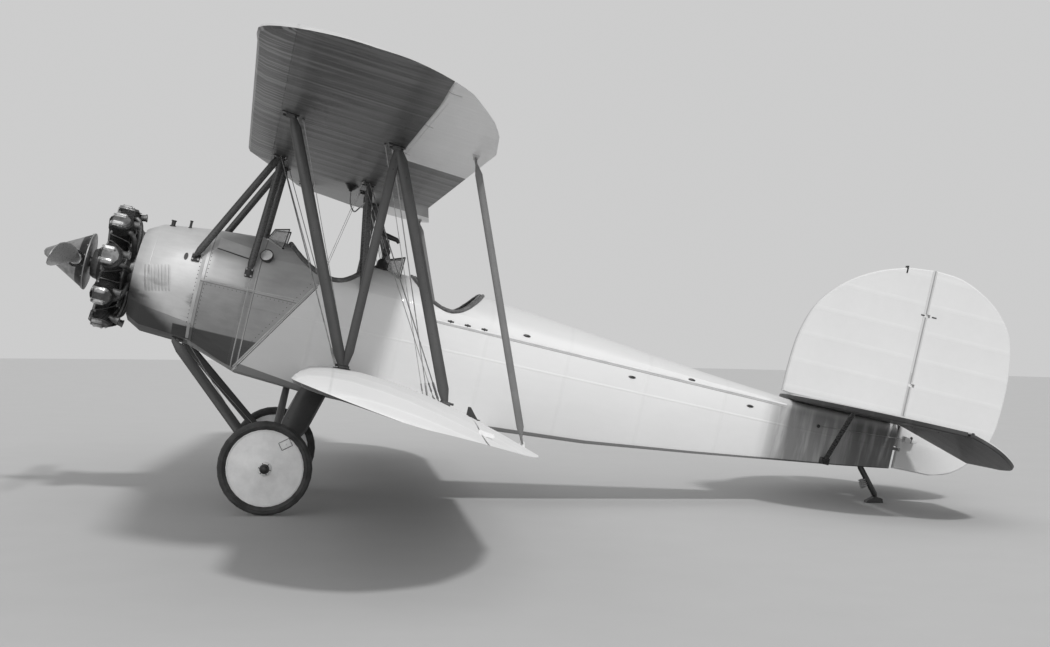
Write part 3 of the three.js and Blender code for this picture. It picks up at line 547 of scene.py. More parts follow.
def smooth(mesh):
    mesh.polygons.foreach_set("use_smooth", [True] * len(mesh.polygons))


finish_nodes()


# Mesh building, in the airframe's frame
def turns(n, shift=0.0, extra=0):
    """n angles round a circle, the first a share of a step on; extra=1 adds the first again."""
    return [2 * math.pi * (k + shift) / n for k in range(n + extra)]


def oval(middle, u, v, a, b, n, shift=0.0, extra=0):
    """Points round an ellipse that reaches a along u and b along v."""
    return [middle + u * (a * math.cos(t)) + v * (b * math.sin(t)) for t in turns(n, shift, extra)]


def heading(path, i):
    """The direction of a path at its point i."""
    return (path[min(i + 1, len(path) - 1)] - path[max(i - 1, 0)]).normalized()


def lying(way, out):
    """What remains of a direction on a surface that faces out."""
    return (way - out * out.dot(way)).normalized()


class Build:
    """Collects closed shapes, then makes one piece of them."""

    def __init__(self):
        self.points, self.faces, self.kinds = [], [], []
        self.kind = 0

    def face(self, corners):
        self.faces.append(corners)
        self.kinds.append(self.kind)

    def rings(self, rings, caps=True):
        """Skin through rings of points."""
        start, n = len(self.points), len(rings[0])
        self.points += [Vector(p) for ring in rings for p in ring]
        for a in range(start, start + (len(rings) - 1) * n, n):
            for j in range(n):
                k = (j + 1) % n
                self.face((a + j, a + k, a + k + n, a + j + n))
        if caps:
            end = len(self.points) - n
            self.face(tuple(range(start, start + n))[::-1])
            self.face(tuple(range(end, end + n)))

    def tube(self, path, radius, sides=8):
        """A bar along path; radius may be a list."""
        path = [Vector(p) for p in path]
        radii = radius if isinstance(radius, list) else [radius] * len(path)
        rings, side = [], None
        for i, p in enumerate(path):
            run = heading(path, i)
            if side is None:
                side = run.cross(Z if abs(run.z) < 0.9 else X).normalized()
            side = lying(side, run)
            rings.append(oval(p, side, side.cross(run).normalized(), radii[i], radii[i], sides, 0.5))
        self.rings(rings)

    def lathe(self, profile, origin, axis, sides=20):
        """profile of (radius, distance along axis) pairs, both ends closed."""
        axis, origin = Vector(axis).normalized(), Vector(origin)
        u = axis.cross(Z if abs(axis.z) < 0.9 else X).normalized()
        v = axis.cross(u)
        self.rings([oval(origin + axis * h, u, v, r, r, sides) for r, h in profile])

    def box(self, middle, size, ease=0.0, axes=(X, Y, Z)):
        """A block with eased edges; axes are its own three directions."""
        middle = Vector(middle)
        a, b, c = axes
        e = min(ease, 0.45 * min(size))
        hx, hy, hz = (s / 2 for s in size)

        def ring(x, y, z):
            flat = []
            for sx, sy in ((-1, -1), (1, -1), (1, 1), (-1, 1)):
                pair = [(sx * x, sy * (y - e)), (sx * (x - e), sy * y)]
                flat += pair[:: sx * sy] if e else pair[:1]
            return [middle + a * p + b * q + c * z for p, q in flat]

        levels = [ring(hx, hy, e - hz), ring(hx, hy, hz - e)]
        if e:
            levels = [ring(hx - e, hy - e, -hz)] + levels + [ring(hx - e, hy - e, hz)]
        self.rings(levels)

    def bolt(self, place, axis, r, tall):
        head = [(r * 1.5, 0.0), (r * 1.5, tall * 0.25), (r, tall * 0.3), (r * 0.95, tall)]
        self.lathe(head, place, axis, 6)

    def mirror(self):
        """The same again on the other side."""
        n = len(self.points)
        self.points += [V(p.x, -p.y, p.z) for p in self.points]
        self.faces += [tuple(i + n for i in f)[::-1] for f in self.faces]
        self.kinds += self.kinds
        return self

    def make(self, name, mats, body="airframe", sharp=32.0, subdivide=0):
        """One piece in the row frame, on a body or on none; kinds count through the keys of M in mats."""
        mesh = bpy.data.meshes.new(name)
        mesh.from_pydata([C(*p) for p in self.points], [], self.faces)
        mesh.polygons.foreach_set("material_index", self.kinds)
        work = bmesh.new()
        work.from_mesh(mesh)
        bmesh.ops.recalc_face_normals(work, faces=work.faces)
        for f in work.faces:
            f.smooth = True
        for e in work.edges:
            e.smooth = len(e.link_faces) == 2 and e.calc_face_angle(0.0) < math.radians(sharp)
        work.to_mesh(mesh)
        work.free()
        keys = mats.split()
        for key in keys:
            mesh.materials.append(M[key].data)
        obj = added(name, mesh)
        if subdivide:
            finer = obj.modifiers.new("subdivide", "SUBSURF")
            finer.levels = finer.render_levels = subdivide
        if body:
            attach(obj, body)
        return obj


def tree_of(*names):
    """The surfaces of these solids, to find places on them."""
    points, faces = [], []
    for name in names:
        mesh = NODES[name].data
        start = len(points)
        points += [craft(v.co) for v in mesh.vertices]
        faces += [tuple(start + i for i in p.vertices) for p in mesh.polygons]
    return BVHTree.FromPolygons(points, faces)


HULL = tree_of("nose_cowl", "fuselage_nose", "fuselage_front", "fuselage_rear")


def meet(tree, start, way):
    """(point, outward direction) where a ray first meets a surface."""
    hit, normal, _, _ = tree.ray_cast(start, way)
    return hit, normal if normal.dot(way) < 0 else -normal


def hull_at(x, z, side=-1):
    """The same on the fuselage's side, or beside it where the ray passes below."""
    start, way = V(x, side * 3.0, z), V(0, -side, 0)
    if HULL.ray_cast(start, way)[0] is None:
        return V(x, side * 0.3, z), -way
    return meet(HULL, start, way)


def deck_at(x, y):
    return meet(HULL, V(x, y, 3.0), -Z)


def floor():
    mesh = bpy.data.meshes.new("floor")
    mesh.from_pydata(oval(V(0, 0, 0), X, Y, 45.0, 45.0, 96), [], [tuple(range(96))])
    m = Mat("floor_paint", "painted_sheet")
    tone = 0.46 + (m.noise(2.0, detail=6.0) - 0.5) * 0.03
    m.done(tone, 0.85, m.noise(60.0) * 0.0004, specular=0.2)
    mesh.materials.append(m.data)
    added("floor", mesh)


floor()


def smooth_path(points, steps):
    """A smooth curve through the points, with that many spans in all."""
    pts = [Vector(p) for p in points]
    pts = [pts[0] * 2 - pts[1]] + pts + [pts[-1] * 2 - pts[-2]]
    spans = len(pts) - 3
    out = []
    for k in range(steps + 1):
        u = k / steps * spans
        i = min(int(u), spans - 1)
        t = u - i
        a, b, c, d = pts[i : i + 4]
        cubic = (a * 2 - b * 5 + c * 4 - d) * t * t + (b * 3 - a - c * 3 + d) * t**3
        out.append(0.5 * (b * 2 + (c - a) * t + cubic))
    return out


# Engine
CYLINDERS = 9
HEAD_X = 0.325  # the cylinders' plane
CRANK = 0.205  # the crankcase's radius
FINS = [
    # from, to, pitch, inner and outer radius, thickness: on the barrel, then deeper ones on the head
    (0.034, 0.243, 0.0105, 0.072, 0.088, 0.003),
    (0.252, 0.322, 0.0115, 0.086, 0.103, 0.0035),
]


def cylinder(i, fins, heads, rods, pipes):
    a = 2 * math.pi * i / CYLINDERS
    out, side = V(0, math.sin(a), math.cos(a)), V(0, math.cos(a), -math.sin(a))

    def at(x, high, aside=0.0):
        return V(HEAD_X + x, 0, 0) + out * high + side * aside

    base = at(0.0, CRANK - 0.022)
    for h, end, pitch, inner, outer, thick in FINS:
        while h < end:
            edge = [(inner, h), (outer, h + 0.001), (outer, h + thick), (inner, h + thick + 0.001)]
            fins.lathe(edge, base, out, 18)
            h += pitch
    fins.lathe([(0.094, 0.0), (0.094, 0.012), (0.078, 0.018)], base + out * 0.012, out, 18)
    for spot in oval(base + out * 0.024, X, side, 0.086, 0.086, 8, 0.5):  # hold-down nuts
        rods.bolt(spot, out, 0.0055, 0.008)
    for k in (-1, 1):
        # rocker box with its cover and bolts
        p = at(-0.018, 0.512, 0.052 * k)
        tilt = (side * (0.35 * k) + out).normalized()
        axes = (X, X.cross(tilt), tilt)
        heads.box(p - X * 0.004, (0.106, 0.046, 0.046), 0.012, axes)
        heads.box(p + tilt * 0.022, (0.092, 0.036, 0.016), 0.006, axes)
        for x in (-0.030, 0.030):
            heads.bolt(p + tilt * 0.029 + X * x, tilt, 0.006, 0.006)
        heads.lathe([(0.018, -0.010), (0.018, 0.006), (0.012, 0.010)], p - X * 0.059, -X, 12)
        # pushrod tube with its ferrules
        low, high = at(-0.082, CRANK - 0.02, 0.030 * k), at(-0.070, 0.490, 0.045 * k)
        run = (high - low).normalized()
        rods.tube([low, high], 0.0115, 10)
        rods.tube([low, low + run * 0.022], 0.017, 10)
        rods.tube([high - run * 0.03, high], 0.016, 10)
        # spark plug, its elbow and lead back to the ring
        plug = at(-0.055, 0.452, 0.088 * k)
        rods.lathe([(0.011, 0.0), (0.011, 0.012), (0.007, 0.014), (0.007, 0.034)], plug, side * k, 8)
        tip = plug + side * (0.032 * k)
        back = at(0.098, 0.285, 0.070 * k)
        bend = tip + side * (0.012 * k) + X * 0.015
        lead = smooth_path([tip, bend, tip + X * 0.06 - out * 0.02, back + out * 0.07, back], 10)
        pipes.tube(lead, 0.0042, 6)
    # intake pipe behind the barrel, exhaust elbow and its open stub
    pipe = [(0.135, 0.175, -0.035), (0.140, 0.300, -0.045), (0.115, 0.420, -0.045), (0.052, 0.462, -0.045)]
    pipes.tube(smooth_path([at(*p) for p in pipe], 12), 0.021, 12)
    stub = [at(0.040, 0.461, 0.040), at(0.090, 0.467, 0.040), at(0.145, 0.477, 0.040)]
    pipes.tube(smooth_path(stub, 6), 0.0285, 14)
    lip = [(0.029, -0.006), (0.034, -0.005), (0.034, 0.006), (0.024, 0.007), (0.022, -0.004)]
    pipes.lathe(lip, stub[2], stub[2] - stub[1], 14)


def engine_pieces():
    fins, heads, rods, pipes = Build(), Build(), Build(), Build()
    for i in range(CYLINDERS):
        cylinder(i, fins, heads, rods, pipes)
    for spot in oval(X * 0.2305, Z, Y, 0.186, 0.186, CYLINDERS, 0.5):  # nuts between the cylinders
        rods.bolt(spot, -X, 0.008, 0.010)
    for spot in oval(X * 0.182, Z, Y, 0.124, 0.124, 14):  # studs of the nose case
        rods.bolt(spot, -X, 0.006, 0.008)
    pipes.tube(oval(X * (HEAD_X + 0.100), Z, Y, 0.272, 0.272, 72, extra=1), 0.013, 8)
    rods.lathe([(0.118, 0.0), (0.126, 0.006), (0.126, 0.016)], X * 0.146, X, 32)
    # sump between the two lowest cylinders, with its drain plug
    pipes.box((HEAD_X + 0.04, 0, -0.262), (0.20, 0.085, 0.13), 0.02)
    pipes.bolt((HEAD_X + 0.04, 0, -0.328), -Z, 0.012, 0.012)
    fins.make("cylinder_fins", "barrel", sharp=50)
    heads.make("rocker_boxes", "rocker")
    rods.make("pushrods_and_nuts", "steel")
    pipes.make("engine_pipes", "cast")


engine_pieces()


# Nose: louvres, seams, fittings
def between(p, q, t):
    return tuple(a + (b - a) * t for a, b in zip(p, q))


def along(p, q, n):
    return [between(p, q, k / n) for k in range(n + 1)]


def hull_patch(b, upper, lower, thick, side, steps):
    """A thin plate that follows the fuselage's side between two edges, each a pair of (x, z)."""
    n = steps + 1
    low, high = [], []
    for j in range(n):
        for p, q in zip(along(*upper, steps), along(*lower, steps)):
            spot, out = hull_at(*between(p, q, j / steps), side)
            low.append(spot - out * 0.002)
            high.append(spot + out * thick)
    start = len(b.points)
    b.points += low + high
    for a in (start + j * n + i for j in range(steps) for i in range(steps)):
        c = a + n * n
        b.face((a, a + 1, a + n + 1, a + n))
        b.face((c, c + n, c + n + 1, c + 1))
    ends = [0, steps, n * n - 1, steps * n, 0]
    rim = [i for p, q in zip(ends, ends[1:]) for i in range(p, q, (q - p) // steps)]
    for i, j in zip(rim, rim[1:] + rim[:1]):
        b.face((start + i, start + i + n * n, start + j + n * n, start + j))


ROUND = [(-0.5, -0.2), (-0.5, 0.25), (-0.32, 0.8), (0.0, 1.0), (0.32, 0.8), (0.5, 0.25), (0.5, -0.2)]
FLAT = [(-0.5, -0.3), (-0.5, 1.0), (0.5, 1.0), (0.5, -0.3)]


def hull_strip(b, start, end, n, width, thick, side, shape=ROUND):
    """A moulding on the fuselage's side, from one (x, z) to another."""
    places = [hull_at(x, z, side) for x, z in along(start, end, n)]
    path = [p for p, _ in places]
    rings = []
    for i, (p, out) in enumerate(places):
        across = out.cross(heading(path, i)).normalized()
        rings.append([p + across * (width * u) + out * (thick * v) for u, v in shape])
    b.rings(rings)


LOUVRE = [
    # back from the front edge, share of its height and height above that
    (0.0, 0.0, -0.001),
    (0.007, 0.55, 0.0),
    (0.014, 0.95, 0.0),
    (0.019, 1.0, 0.0),
    (0.0185, 1.0, -0.0012),
    (0.017, 0.0, -0.001),
]


def louvre(b, top, foot, side):
    """One scoop: flush at its front edge and open behind."""
    rings = []
    for k in range(13):
        swell = math.sin(math.pi * min(max(k / 12 * 1.02 - 0.01, 0.0), 1.0)) ** 0.35
        p, out = hull_at(*between(top, foot, k / 12), side)
        back, tall = lying(X, out), 0.0085 * swell + 0.0006
        rings.append([p + back * x + out * (tall * share + more) for x, share, more in LOUVRE])
    b.rings(rings)


def screws(b, places, side, r, tall):
    for x, z in places:
        p, out = hull_at(x, z, side)
        b.bolt(p - out * 0.0015, out, r, tall)


def nose_pieces():
    cuts, trim, dark = Build(), Build(), Build()
    for side in (-1, 1):
        for i in range(8):
            x, z = 0.600 + 0.0272 * i, 0.085 + 0.006 * i
            louvre(cuts, (x, z), (x + 0.050, z - 0.215), side)
        # raised strap where the cowl meets the first panel
        hull_strip(trim, (1.068, 0.44), (1.068, -0.46), 40, 0.026, 0.003, side, FLAT)
        # doubled strip ahead of the slanting seam
        for x in (1.476, 1.528):
            hull_strip(trim, (x, 0.40), (x + 0.006, -0.598), 40, 0.009, 0.004, side)
        # panel joint along the upper longeron, and the slanting seam's strip
        hull_strip(trim, (1.09, 0.066), (1.93, 0.088), 30, 0.012, 0.003, side)
        hull_strip(trim, (1.506, -0.585), (2.020, 0.232), 40, 0.016, 0.005, side)
        hull_strip(dark, (1.528, -0.590), (2.040, 0.226), 40, 0.006, 0.003, side)
        # rows of screws beside the joints
        screws(dark, [(x, 0.34 - 0.034 * k) for k in range(26) for x in (1.048, 1.120)], side, 0.0042, 0.0032)
        slant = along((1.475, -0.56), (1.989, 0.257), 48)[1::2]
        screws(dark, slant + [(1.14 + 0.036 * k, 0.040) for k in range(22)], side, 0.0038, 0.003)
        # oval inspection cover ahead of the first strut, and the sockets of the front struts
        p, out = hull_at(0.917, 0.228, side)
        lay = lying(X, out)
        low = oval(p - out * 0.002, lay, out.cross(lay), 0.017, 0.034, 20)
        dark.rings([low, [q + out * 0.006 for q in low]])
        for x, z in ((1.000, 0.236), (1.456, 0.212)):
            p, out = hull_at(x, z, side)
            lay = lying(X, out)
            up = out.cross(lay).normalized()
            dark.box(p + out * 0.010, (0.070, 0.078, 0.026), 0.007, (lay, up, out))
            for dx, dz in ((-0.024, 0.027), (0.024, 0.027), (-0.024, -0.027), (0.024, -0.027)):
                trim.bolt(p + lay * dx + up * dz + out * 0.022, out, 0.006, 0.006)
        # light access plate on the shoulder, with a black strip under it as painted shade of its edge
        upper, lower = ((1.150, 0.452), (1.430, 0.420)), ((1.150, 0.362), (1.425, 0.335))
        hull_patch(trim, upper, lower, 0.004, side, 8)
        hull_strip(dark, (1.150, 0.356), (1.425, 0.329), 12, 0.010, 0.004, side)
    # filler neck and vent on top of the nose
    for x, r, tall in ((0.715, 0.018, 0.040), (0.860, 0.011, 0.052)):
        neck = [(r * 1.5, -0.012), (r * 1.5, 0.004), (r, 0.008), (r, tall)]
        cap = [(r * 1.25, tall + 0.002), (r * 1.25, tall + 0.012)]
        dark.lathe(neck + cap, deck_at(x, -0.07)[0], Z, 16)
    cuts.make("louvres", "cowl", sharp=40)
    trim.make("nose_strips", "trim", sharp=40)
    dark.make("nose_fittings", "black", sharp=40)


nose_pieces()


# Cockpits
RIMS = {
    # the saddle of each cut-out: x where it starts, is lowest and ends, and its lowest height
    "front": (1.700, 2.165, 2.480, 0.318),
    "rear": (2.768, 3.190, 3.510, 0.288),
}
DECK_Z = 0.575  # where a saddle's ends reach the deck


def saddle_points(x0, x1, x2, low):
    deep = DECK_Z - low
    turn = [math.pi / 12 * i for i in range(7)]
    fall = [(x0 + (x1 - x0) * i / 6, DECK_Z - deep * math.sin(t) ** 0.9) for i, t in enumerate(turn)]
    rise = [(x1 + (x2 - x1) * i / 6, DECK_Z - deep * abs(math.cos(t)) ** 0.9) for i, t in enumerate(turn)]
    return fall + rise[1:]


def rim_loop(name):
    """The edge of a cockpit's opening as a closed loop, from the middle of its front round by port."""
    pts, port = saddle_points(*RIMS[name]), []
    for p, q in zip(pts, pts[1:]):
        for x, z in along(p, q, 8)[:-1]:
            hit = HULL.ray_cast(V(x, -3.0, z - 0.002), Y)[0]
            if hit is not None and hit.y < -0.02:
                port.append(V(x, hit.y, z))
    front, back = deck_at(port[0].x - 0.012, 0.0)[0], deck_at(port[-1].x + 0.012, 0.0)[0]
    return even_loop([front] + port + [back] + [V(p.x, -p.y, p.z) for p in reversed(port)], 150)


def even_loop(loop, count):
    """The same closed loop with count points, evenly apart, slightly smoothed."""
    closed = loop + [loop[0]]
    run = [0.0]
    for a, b in zip(closed, closed[1:]):
        run.append(run[-1] + (b - a).length)
    out, j = [], 0
    for k in range(count):
        want = run[-1] * k / count
        while run[j + 1] < want:
            j += 1
        t = (want - run[j]) / max(run[j + 1] - run[j], 1e-9)
        out.append(closed[j].lerp(closed[j + 1], t))
    for _ in range(3):
        out = [(out[k - 1] + out[k] * 2 + out[(k + 1) % count]) / 4 for k in range(count)]
    return out


def roll(b, loop, r, seed, tall, lift, inward=0.0):
    """A stuffed roll along a closed loop, tight at its lacing and full between; gives the laced rings."""
    n, sides, middle = len(loop), 12, sum(loop, Vector()) / len(loop)
    rnd = random.Random(seed)
    soft = [rnd.uniform(-0.05, 0.05) for _ in range(n)]
    rings = []
    for k, p in enumerate(loop):
        run = (loop[(k + 1) % n] - loop[k - 1]).normalized()
        side = run.cross(Z).normalized()
        if side.dot(p - middle) < 0:
            side = -side
        top = side.cross(run).normalized()
        if top.z < 0:
            top = -top
        full = r * (1.0 - 0.10 * (k % 5 == 0) + soft[k])
        rings.append(oval(p + top * lift - side * inward, side, top, full, full * tall, sides, 0.5))
    start = len(b.points)
    b.rings(rings, caps=False)
    last = start + (n - 1) * sides
    for q in range(sides):
        w = (q + 1) % sides
        b.face((last + q, last + w, start + w, start + q))
    return rings[::5]


def coaming_pieces():
    for name, r, seed in (("front", 0.021, 3), ("rear", 0.016, 8)):
        pad, lace = Build(), Build()
        loop = rim_loop(name)
        for ring in roll(pad, loop, r, seed, 1.1, 0.004):
            middle = sum(ring, Vector()) / len(ring)
            path = [middle + (q - middle) * 1.02 for q in ring]
            lace.tube(path[3:] + path[:4], 0.0016, 5)
        if name == "rear":  # a lighter inner roll shows behind the outer one
            roll(pad, loop, 0.012, 5, 1.0, 0.006, 0.028)
        pad.make(name + "_coaming", "leather", sharp=80, subdivide=1)
        lace.make(name + "_lacing", "canvas", sharp=80)


SCREENS = [
    # x and lean of the middle pane, reach and lean of the side panes, low and high edges of both
    ("front_screen", 1.505, 0.060, 0.165, 0.020, 0.515, 0.640, 0.465, 0.664),
    ("rear_screen", 2.580, 0.002, 0.122, 0.006, 0.470, 0.618, 0.410, 0.662),
]
STRIP = [(-0.011, -0.004), (-0.011, 0.003), (0.0, 0.0055), (0.011, 0.003), (0.011, -0.004)]


def above_deck(places, margin=0.0):
    """The first of these places that stands above the deck."""
    return next((p for p in places if p.z > deck_at(p.x, p.y)[0].z + margin), None)


def screen_pieces():
    for name, x, lean, back, side_lean, low, top, side_low, side_top in SCREENS:

        def at(k, up):
            y = k * (0.250 - 0.030 * up)
            if abs(k) > 0.9:
                return V(x + back + side_lean * up + 0.0035, y, side_low + (side_top - side_low) * up)
            return V(x + lean * up + 0.0035, y, low + (top - low) * up)

        bars, seat = Build(), Build()
        corners = (-1.0, -0.46, 0.46, 1.0)
        heads = [at(k, 1.0) - Z * 0.003 for k in corners]
        bars.tube(heads, 0.0062, 8)
        for k, head in zip(corners, heads):
            foot = above_deck(at(k, u / 40) for u in range(41)) or at(k, 0.5)
            bars.tube([foot, head], 0.0048, 8)
            bars.box(foot + Z * 0.004, (0.022, 0.016, 0.012), 0.003)
            bars.bolt(foot + Z * 0.009, Z, 0.004, 0.004)
        line = []
        for ka, kb in zip(corners, corners[1:]):
            for q in range(9):
                a, b = (at(ka, up).lerp(at(kb, up), q / 8) for up in (0.0, 1.0))
                line.append(above_deck((a.lerp(b, u / 60) for u in range(61)), 0.001))
        line = [p for p in line if p]
        rings = []
        for i, p in enumerate(line):
            out = deck_at(p.x, p.y)[1]
            across = out.cross(heading(line, i)).normalized()
            rings.append([p + across * u + out * v for u, v in STRIP])
        seat.rings(rings)
        bars.make(name + "_frame", "black", sharp=50)
        seat.make(name + "_base_strip", "bright", sharp=50)


def dial(b, p, r):
    """A round instrument facing aft: bezel, pale face, ticks and a needle; kinds 0 dark, 1 pale, 2 metal."""

    def mark(angle, lift, reach, wide, long):
        d = V(0, math.sin(angle), math.cos(angle))
        b.box(p + X * lift + d * (r * reach), (0.0008, r * wide, r * long), 0.0, (X, X.cross(d), d))

    b.kind = 2
    bezel = [(r + 0.007, 0.0), (r + 0.008, 0.004), (r + 0.003, 0.009), (r - 0.001, 0.008), (r - 0.002, 0.004)]
    b.lathe(bezel, p, X, 24)
    b.kind = 0
    b.lathe([(r - 0.001, 0.003), (r - 0.001, 0.0048)], p, X, 24)
    b.kind = 1
    for t in turns(12):
        mark(t, 0.0052, 0.80, 0.05, 0.22)
    mark(0.7 + p.y * 9, 0.0062, 0.26, 0.06, 0.80)
    b.kind = 0
    b.lathe([(r * 0.14, 0.0), (r * 0.10, 0.0030)], p + X * 0.005, X, 10)


DIALS = [
    # y, z and radius, to both sides
    (0.225, 0.275, 0.040),
    (0.110, 0.305, 0.047),
    (0.062, 0.412, 0.038),
]
KNOB = [(0.010, 0.0), (0.010, 0.006), (0.004, 0.008), (0.004, 0.022), (0.007, 0.026), (0.004, 0.030)]
GRIP = [(0.006, -0.012), (0.0125, -0.006), (0.0135, 0.002), (0.010, 0.010), (0.004, 0.014)]


def cockpit_fittings():
    dials = Build()
    for x in (1.6546, 2.6346):
        dial(dials, V(x, 0.0, 0.285), 0.050)
        for y, z, r in DIALS:
            dial(dials, V(x, -y, z), r)
            dial(dials, V(x, y, z), r)
        dials.kind = 2
        for y in (-0.20, -0.12, 0.12, 0.20):
            dials.lathe(KNOB, (x, y, 0.170), X, 10)
    dials.make("instruments", "black light steel", sharp=45)

    tubes, grips = Build(), Build()
    for x, wall in ((1.915, -0.415), (2.935, -0.395)):
        foot, top = V(x, 0, -0.425), V(x + 0.055, 0, 0.060)
        tubes.tube(smooth_path([foot, foot + Z * 0.20, top], 8), [0.0145] * 6 + [0.013] * 3, 12)
        tubes.lathe([(0.040, 0.0), (0.040, 0.012), (0.022, 0.035), (0.018, 0.060)], foot, Z, 16)
        grip = [top - V(0.008, 0, 0.075), top + Z * 0.03, top + V(0.001, 0, 0.042)]
        grips.tube(grip, [0.017, 0.0185, 0.010], 14)
        # rudder bar with its two stirrups
        bar = V(x - 0.215, 0, -0.335)
        tubes.tube([bar - Y * 0.20, bar + Y * 0.20], 0.014, 12)
        tubes.lathe([(0.030, -0.02), (0.030, 0.02)], bar, Z, 14)
        tubes.tube([bar, bar - Z * 0.088], 0.016, 10)
        for s in (-1, 1):
            loop = [(0.0, 0.12, 0.0), (-0.01, 0.115, 0.10), (-0.01, 0.205, 0.10), (0.0, 0.195, 0.0)]
            tubes.tube(smooth_path([bar + V(a, s * b, c) for a, b, c in loop], 12), 0.0055, 8)
        # throttle and mixture levers in a quadrant on the port wall
        q = V(x + 0.02, wall, 0.10)
        tubes.box(q, (0.16, 0.014, 0.05), 0.005)
        for dx, tall in ((-0.03, 0.11), (0.025, 0.095)):
            tubes.tube([q + V(dx, 0.012, 0.0), q + V(dx + 0.02, 0.016, tall)], 0.0035, 8)
            grips.lathe(GRIP, q + V(dx + 0.021, 0.016, tall + 0.006), (0.2, 0, 1), 12)
    tubes.make("controls", "grey", sharp=50)
    grips.make("control_grips", "leather", sharp=60)


CUSHION_SWELL = 0.011  # how far a point may move in the cloth's run
FRAMES = 20
CHANNELS = (-0.5, 0.0, 0.5)


def blow_up(obj):
    """Lets the pad swell as cloth under pressure, and keeps the result."""
    remesh = obj.modifiers.new("remesh", "REMESH")
    remesh.mode, remesh.voxel_size = "VOXEL", 0.0065
    apply_all(obj)
    cloth = obj.modifiers.new("cloth", "CLOTH")
    cloth.settings.use_pressure = True
    cloth.settings.uniform_pressure_force = 4.0
    cloth.settings.effector_weights.gravity = 0.0
    cloth.settings.mass = 0.3
    cloth.settings.quality = 4
    cloth.point_cache.frame_start, cloth.point_cache.frame_end = 1, FRAMES
    for f in range(1, FRAMES + 1):
        bpy.context.scene.frame_set(f)
    graph = bpy.context.evaluated_depsgraph_get()
    moved = [v.co.copy() for v in obj.evaluated_get(graph).to_mesh().vertices]
    obj.evaluated_get(graph).to_mesh_clear()
    obj.modifiers.clear()
    bpy.context.scene.frame_set(1)
    for v, end in zip(obj.data.vertices, moved):
        step = end - v.co
        if step.length > CUSHION_SWELL:
            step *= CUSHION_SWELL / step.length
        v.co += step
    sub = obj.modifiers.new("subdivide", "SUBSURF")
    sub.levels = sub.render_levels = 1
    apply_all(obj)


def apply_all(obj):
    """Puts the modifiers' result into the mesh."""
    graph = bpy.context.evaluated_depsgraph_get()
    made = bpy.data.meshes.new_from_object(obj.evaluated_get(graph))
    old = obj.data
    obj.modifiers.clear()
    obj.data = made
    bpy.data.meshes.remove(old)


def cushion(name, place, size, run, up, seed):
    """A seat pad: a rounded block blown up by cloth, then its channels are sewn in."""
    run, up = run.normalized(), up.normalized()
    w, d, t = size
    mesh = bpy.data.meshes.new(name)
    work = bmesh.new()
    bmesh.ops.create_cube(work, size=1.0)
    bmesh.ops.scale(work, vec=(w - 0.018, d - 0.018, t - 0.014), verts=work.verts)
    bmesh.ops.bevel(work, geom=list(work.edges), offset=0.014, segments=3, affect="EDGES", profile=0.6)
    bmesh.ops.recalc_face_normals(work, faces=work.faces)
    work.to_mesh(mesh)
    work.free()
    obj = added(name, mesh)
    blow_up(obj)
    # sewn channels across, and a drawn-in waist between the corners
    for v in obj.data.vertices:
        u, s = v.co.x / (w / 2), v.co.y / (d / 2)
        sink = sum(math.exp(-(((v.co.x - c * w / 2) / 0.0065) ** 2)) for c in CHANNELS)
        if v.co.z > -t * 0.2:
            v.co.z -= 0.010 * sink * max(0.0, 1 - abs(s) ** 6)
        v.co.y *= 1 - 0.02 * (1 - min(abs(u), 1.0) ** 2)
        v.co.x *= 1 - 0.02 * (1 - min(abs(s), 1.0) ** 2)
        v.co.z += 0.0012 * math.sin(31 * v.co.x + seed) * math.sin(27 * v.co.y)
    low = min(v.co.z for v in obj.data.vertices)
    for v in obj.data.vertices:
        v.co = C(*(place + run * v.co.x + Y * v.co.y + up * (v.co.z - low)))
    obj.data.materials.append(M["leather"].data)
    smooth(obj.data)
    obj.data.update()
    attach(obj, "airframe")


CUSHIONS = [
    # name, place, size, the directions of its run and of its face, seed's shift
    ("_seat_cushion", 0.085, -0.0475, (0.315, 0.395, 0.080), (0.330, 0, -0.020), (0.020, 0, 0.330), 0),
    ("_back_cushion", 0.304, 0.155, (0.330, 0.385, 0.060), (0.070, 0, 0.405), (-0.405, 0, 0.070), 5),
]
STRAP = [(-0.022, 0.0), (-0.022, 0.0028), (0.022, 0.0028), (0.022, 0.0)]


def seat_pieces():
    belts = Build()
    for name, x, seed in (("front", 2.060, 1), ("rear", 3.080, 2)):
        for part, dx, z, size, run, up, shift in CUSHIONS:
            cushion(name + part, V(x + dx, 0, z), size, V(*run), V(*up), seed + shift)
        for s in (-1, 1):  # lap straps, laid inwards over the pad
            path = [(0.215, 0.204, -0.02), (0.20, 0.196, 0.035), (0.17, 0.145, 0.052), (0.13, 0.075, 0.056)]
            path.append((0.10 + 0.02 * s, 0.02, 0.058))
            path = smooth_path([(x + dx, s * y, z) for dx, y, z in path], 24)
            rings = []
            for i, p in enumerate(path):
                run = heading(path, i)
                across = lying(X, run)
                out = run.cross(across).normalized()
                if out.z < 0:
                    out = -out
                rings.append([p + across * u + out * v for u, v in STRAP])
            belts.kind = 0
            belts.rings(rings)
            belts.kind = 1
            belts.box(path[-1] + Z * 0.004, (0.052, 0.034, 0.006), 0.002)
    belts.make("lap_straps", "webbing steel", sharp=50)


coaming_pieces()
screen_pieces()
cockpit_fittings()
seat_pieces()


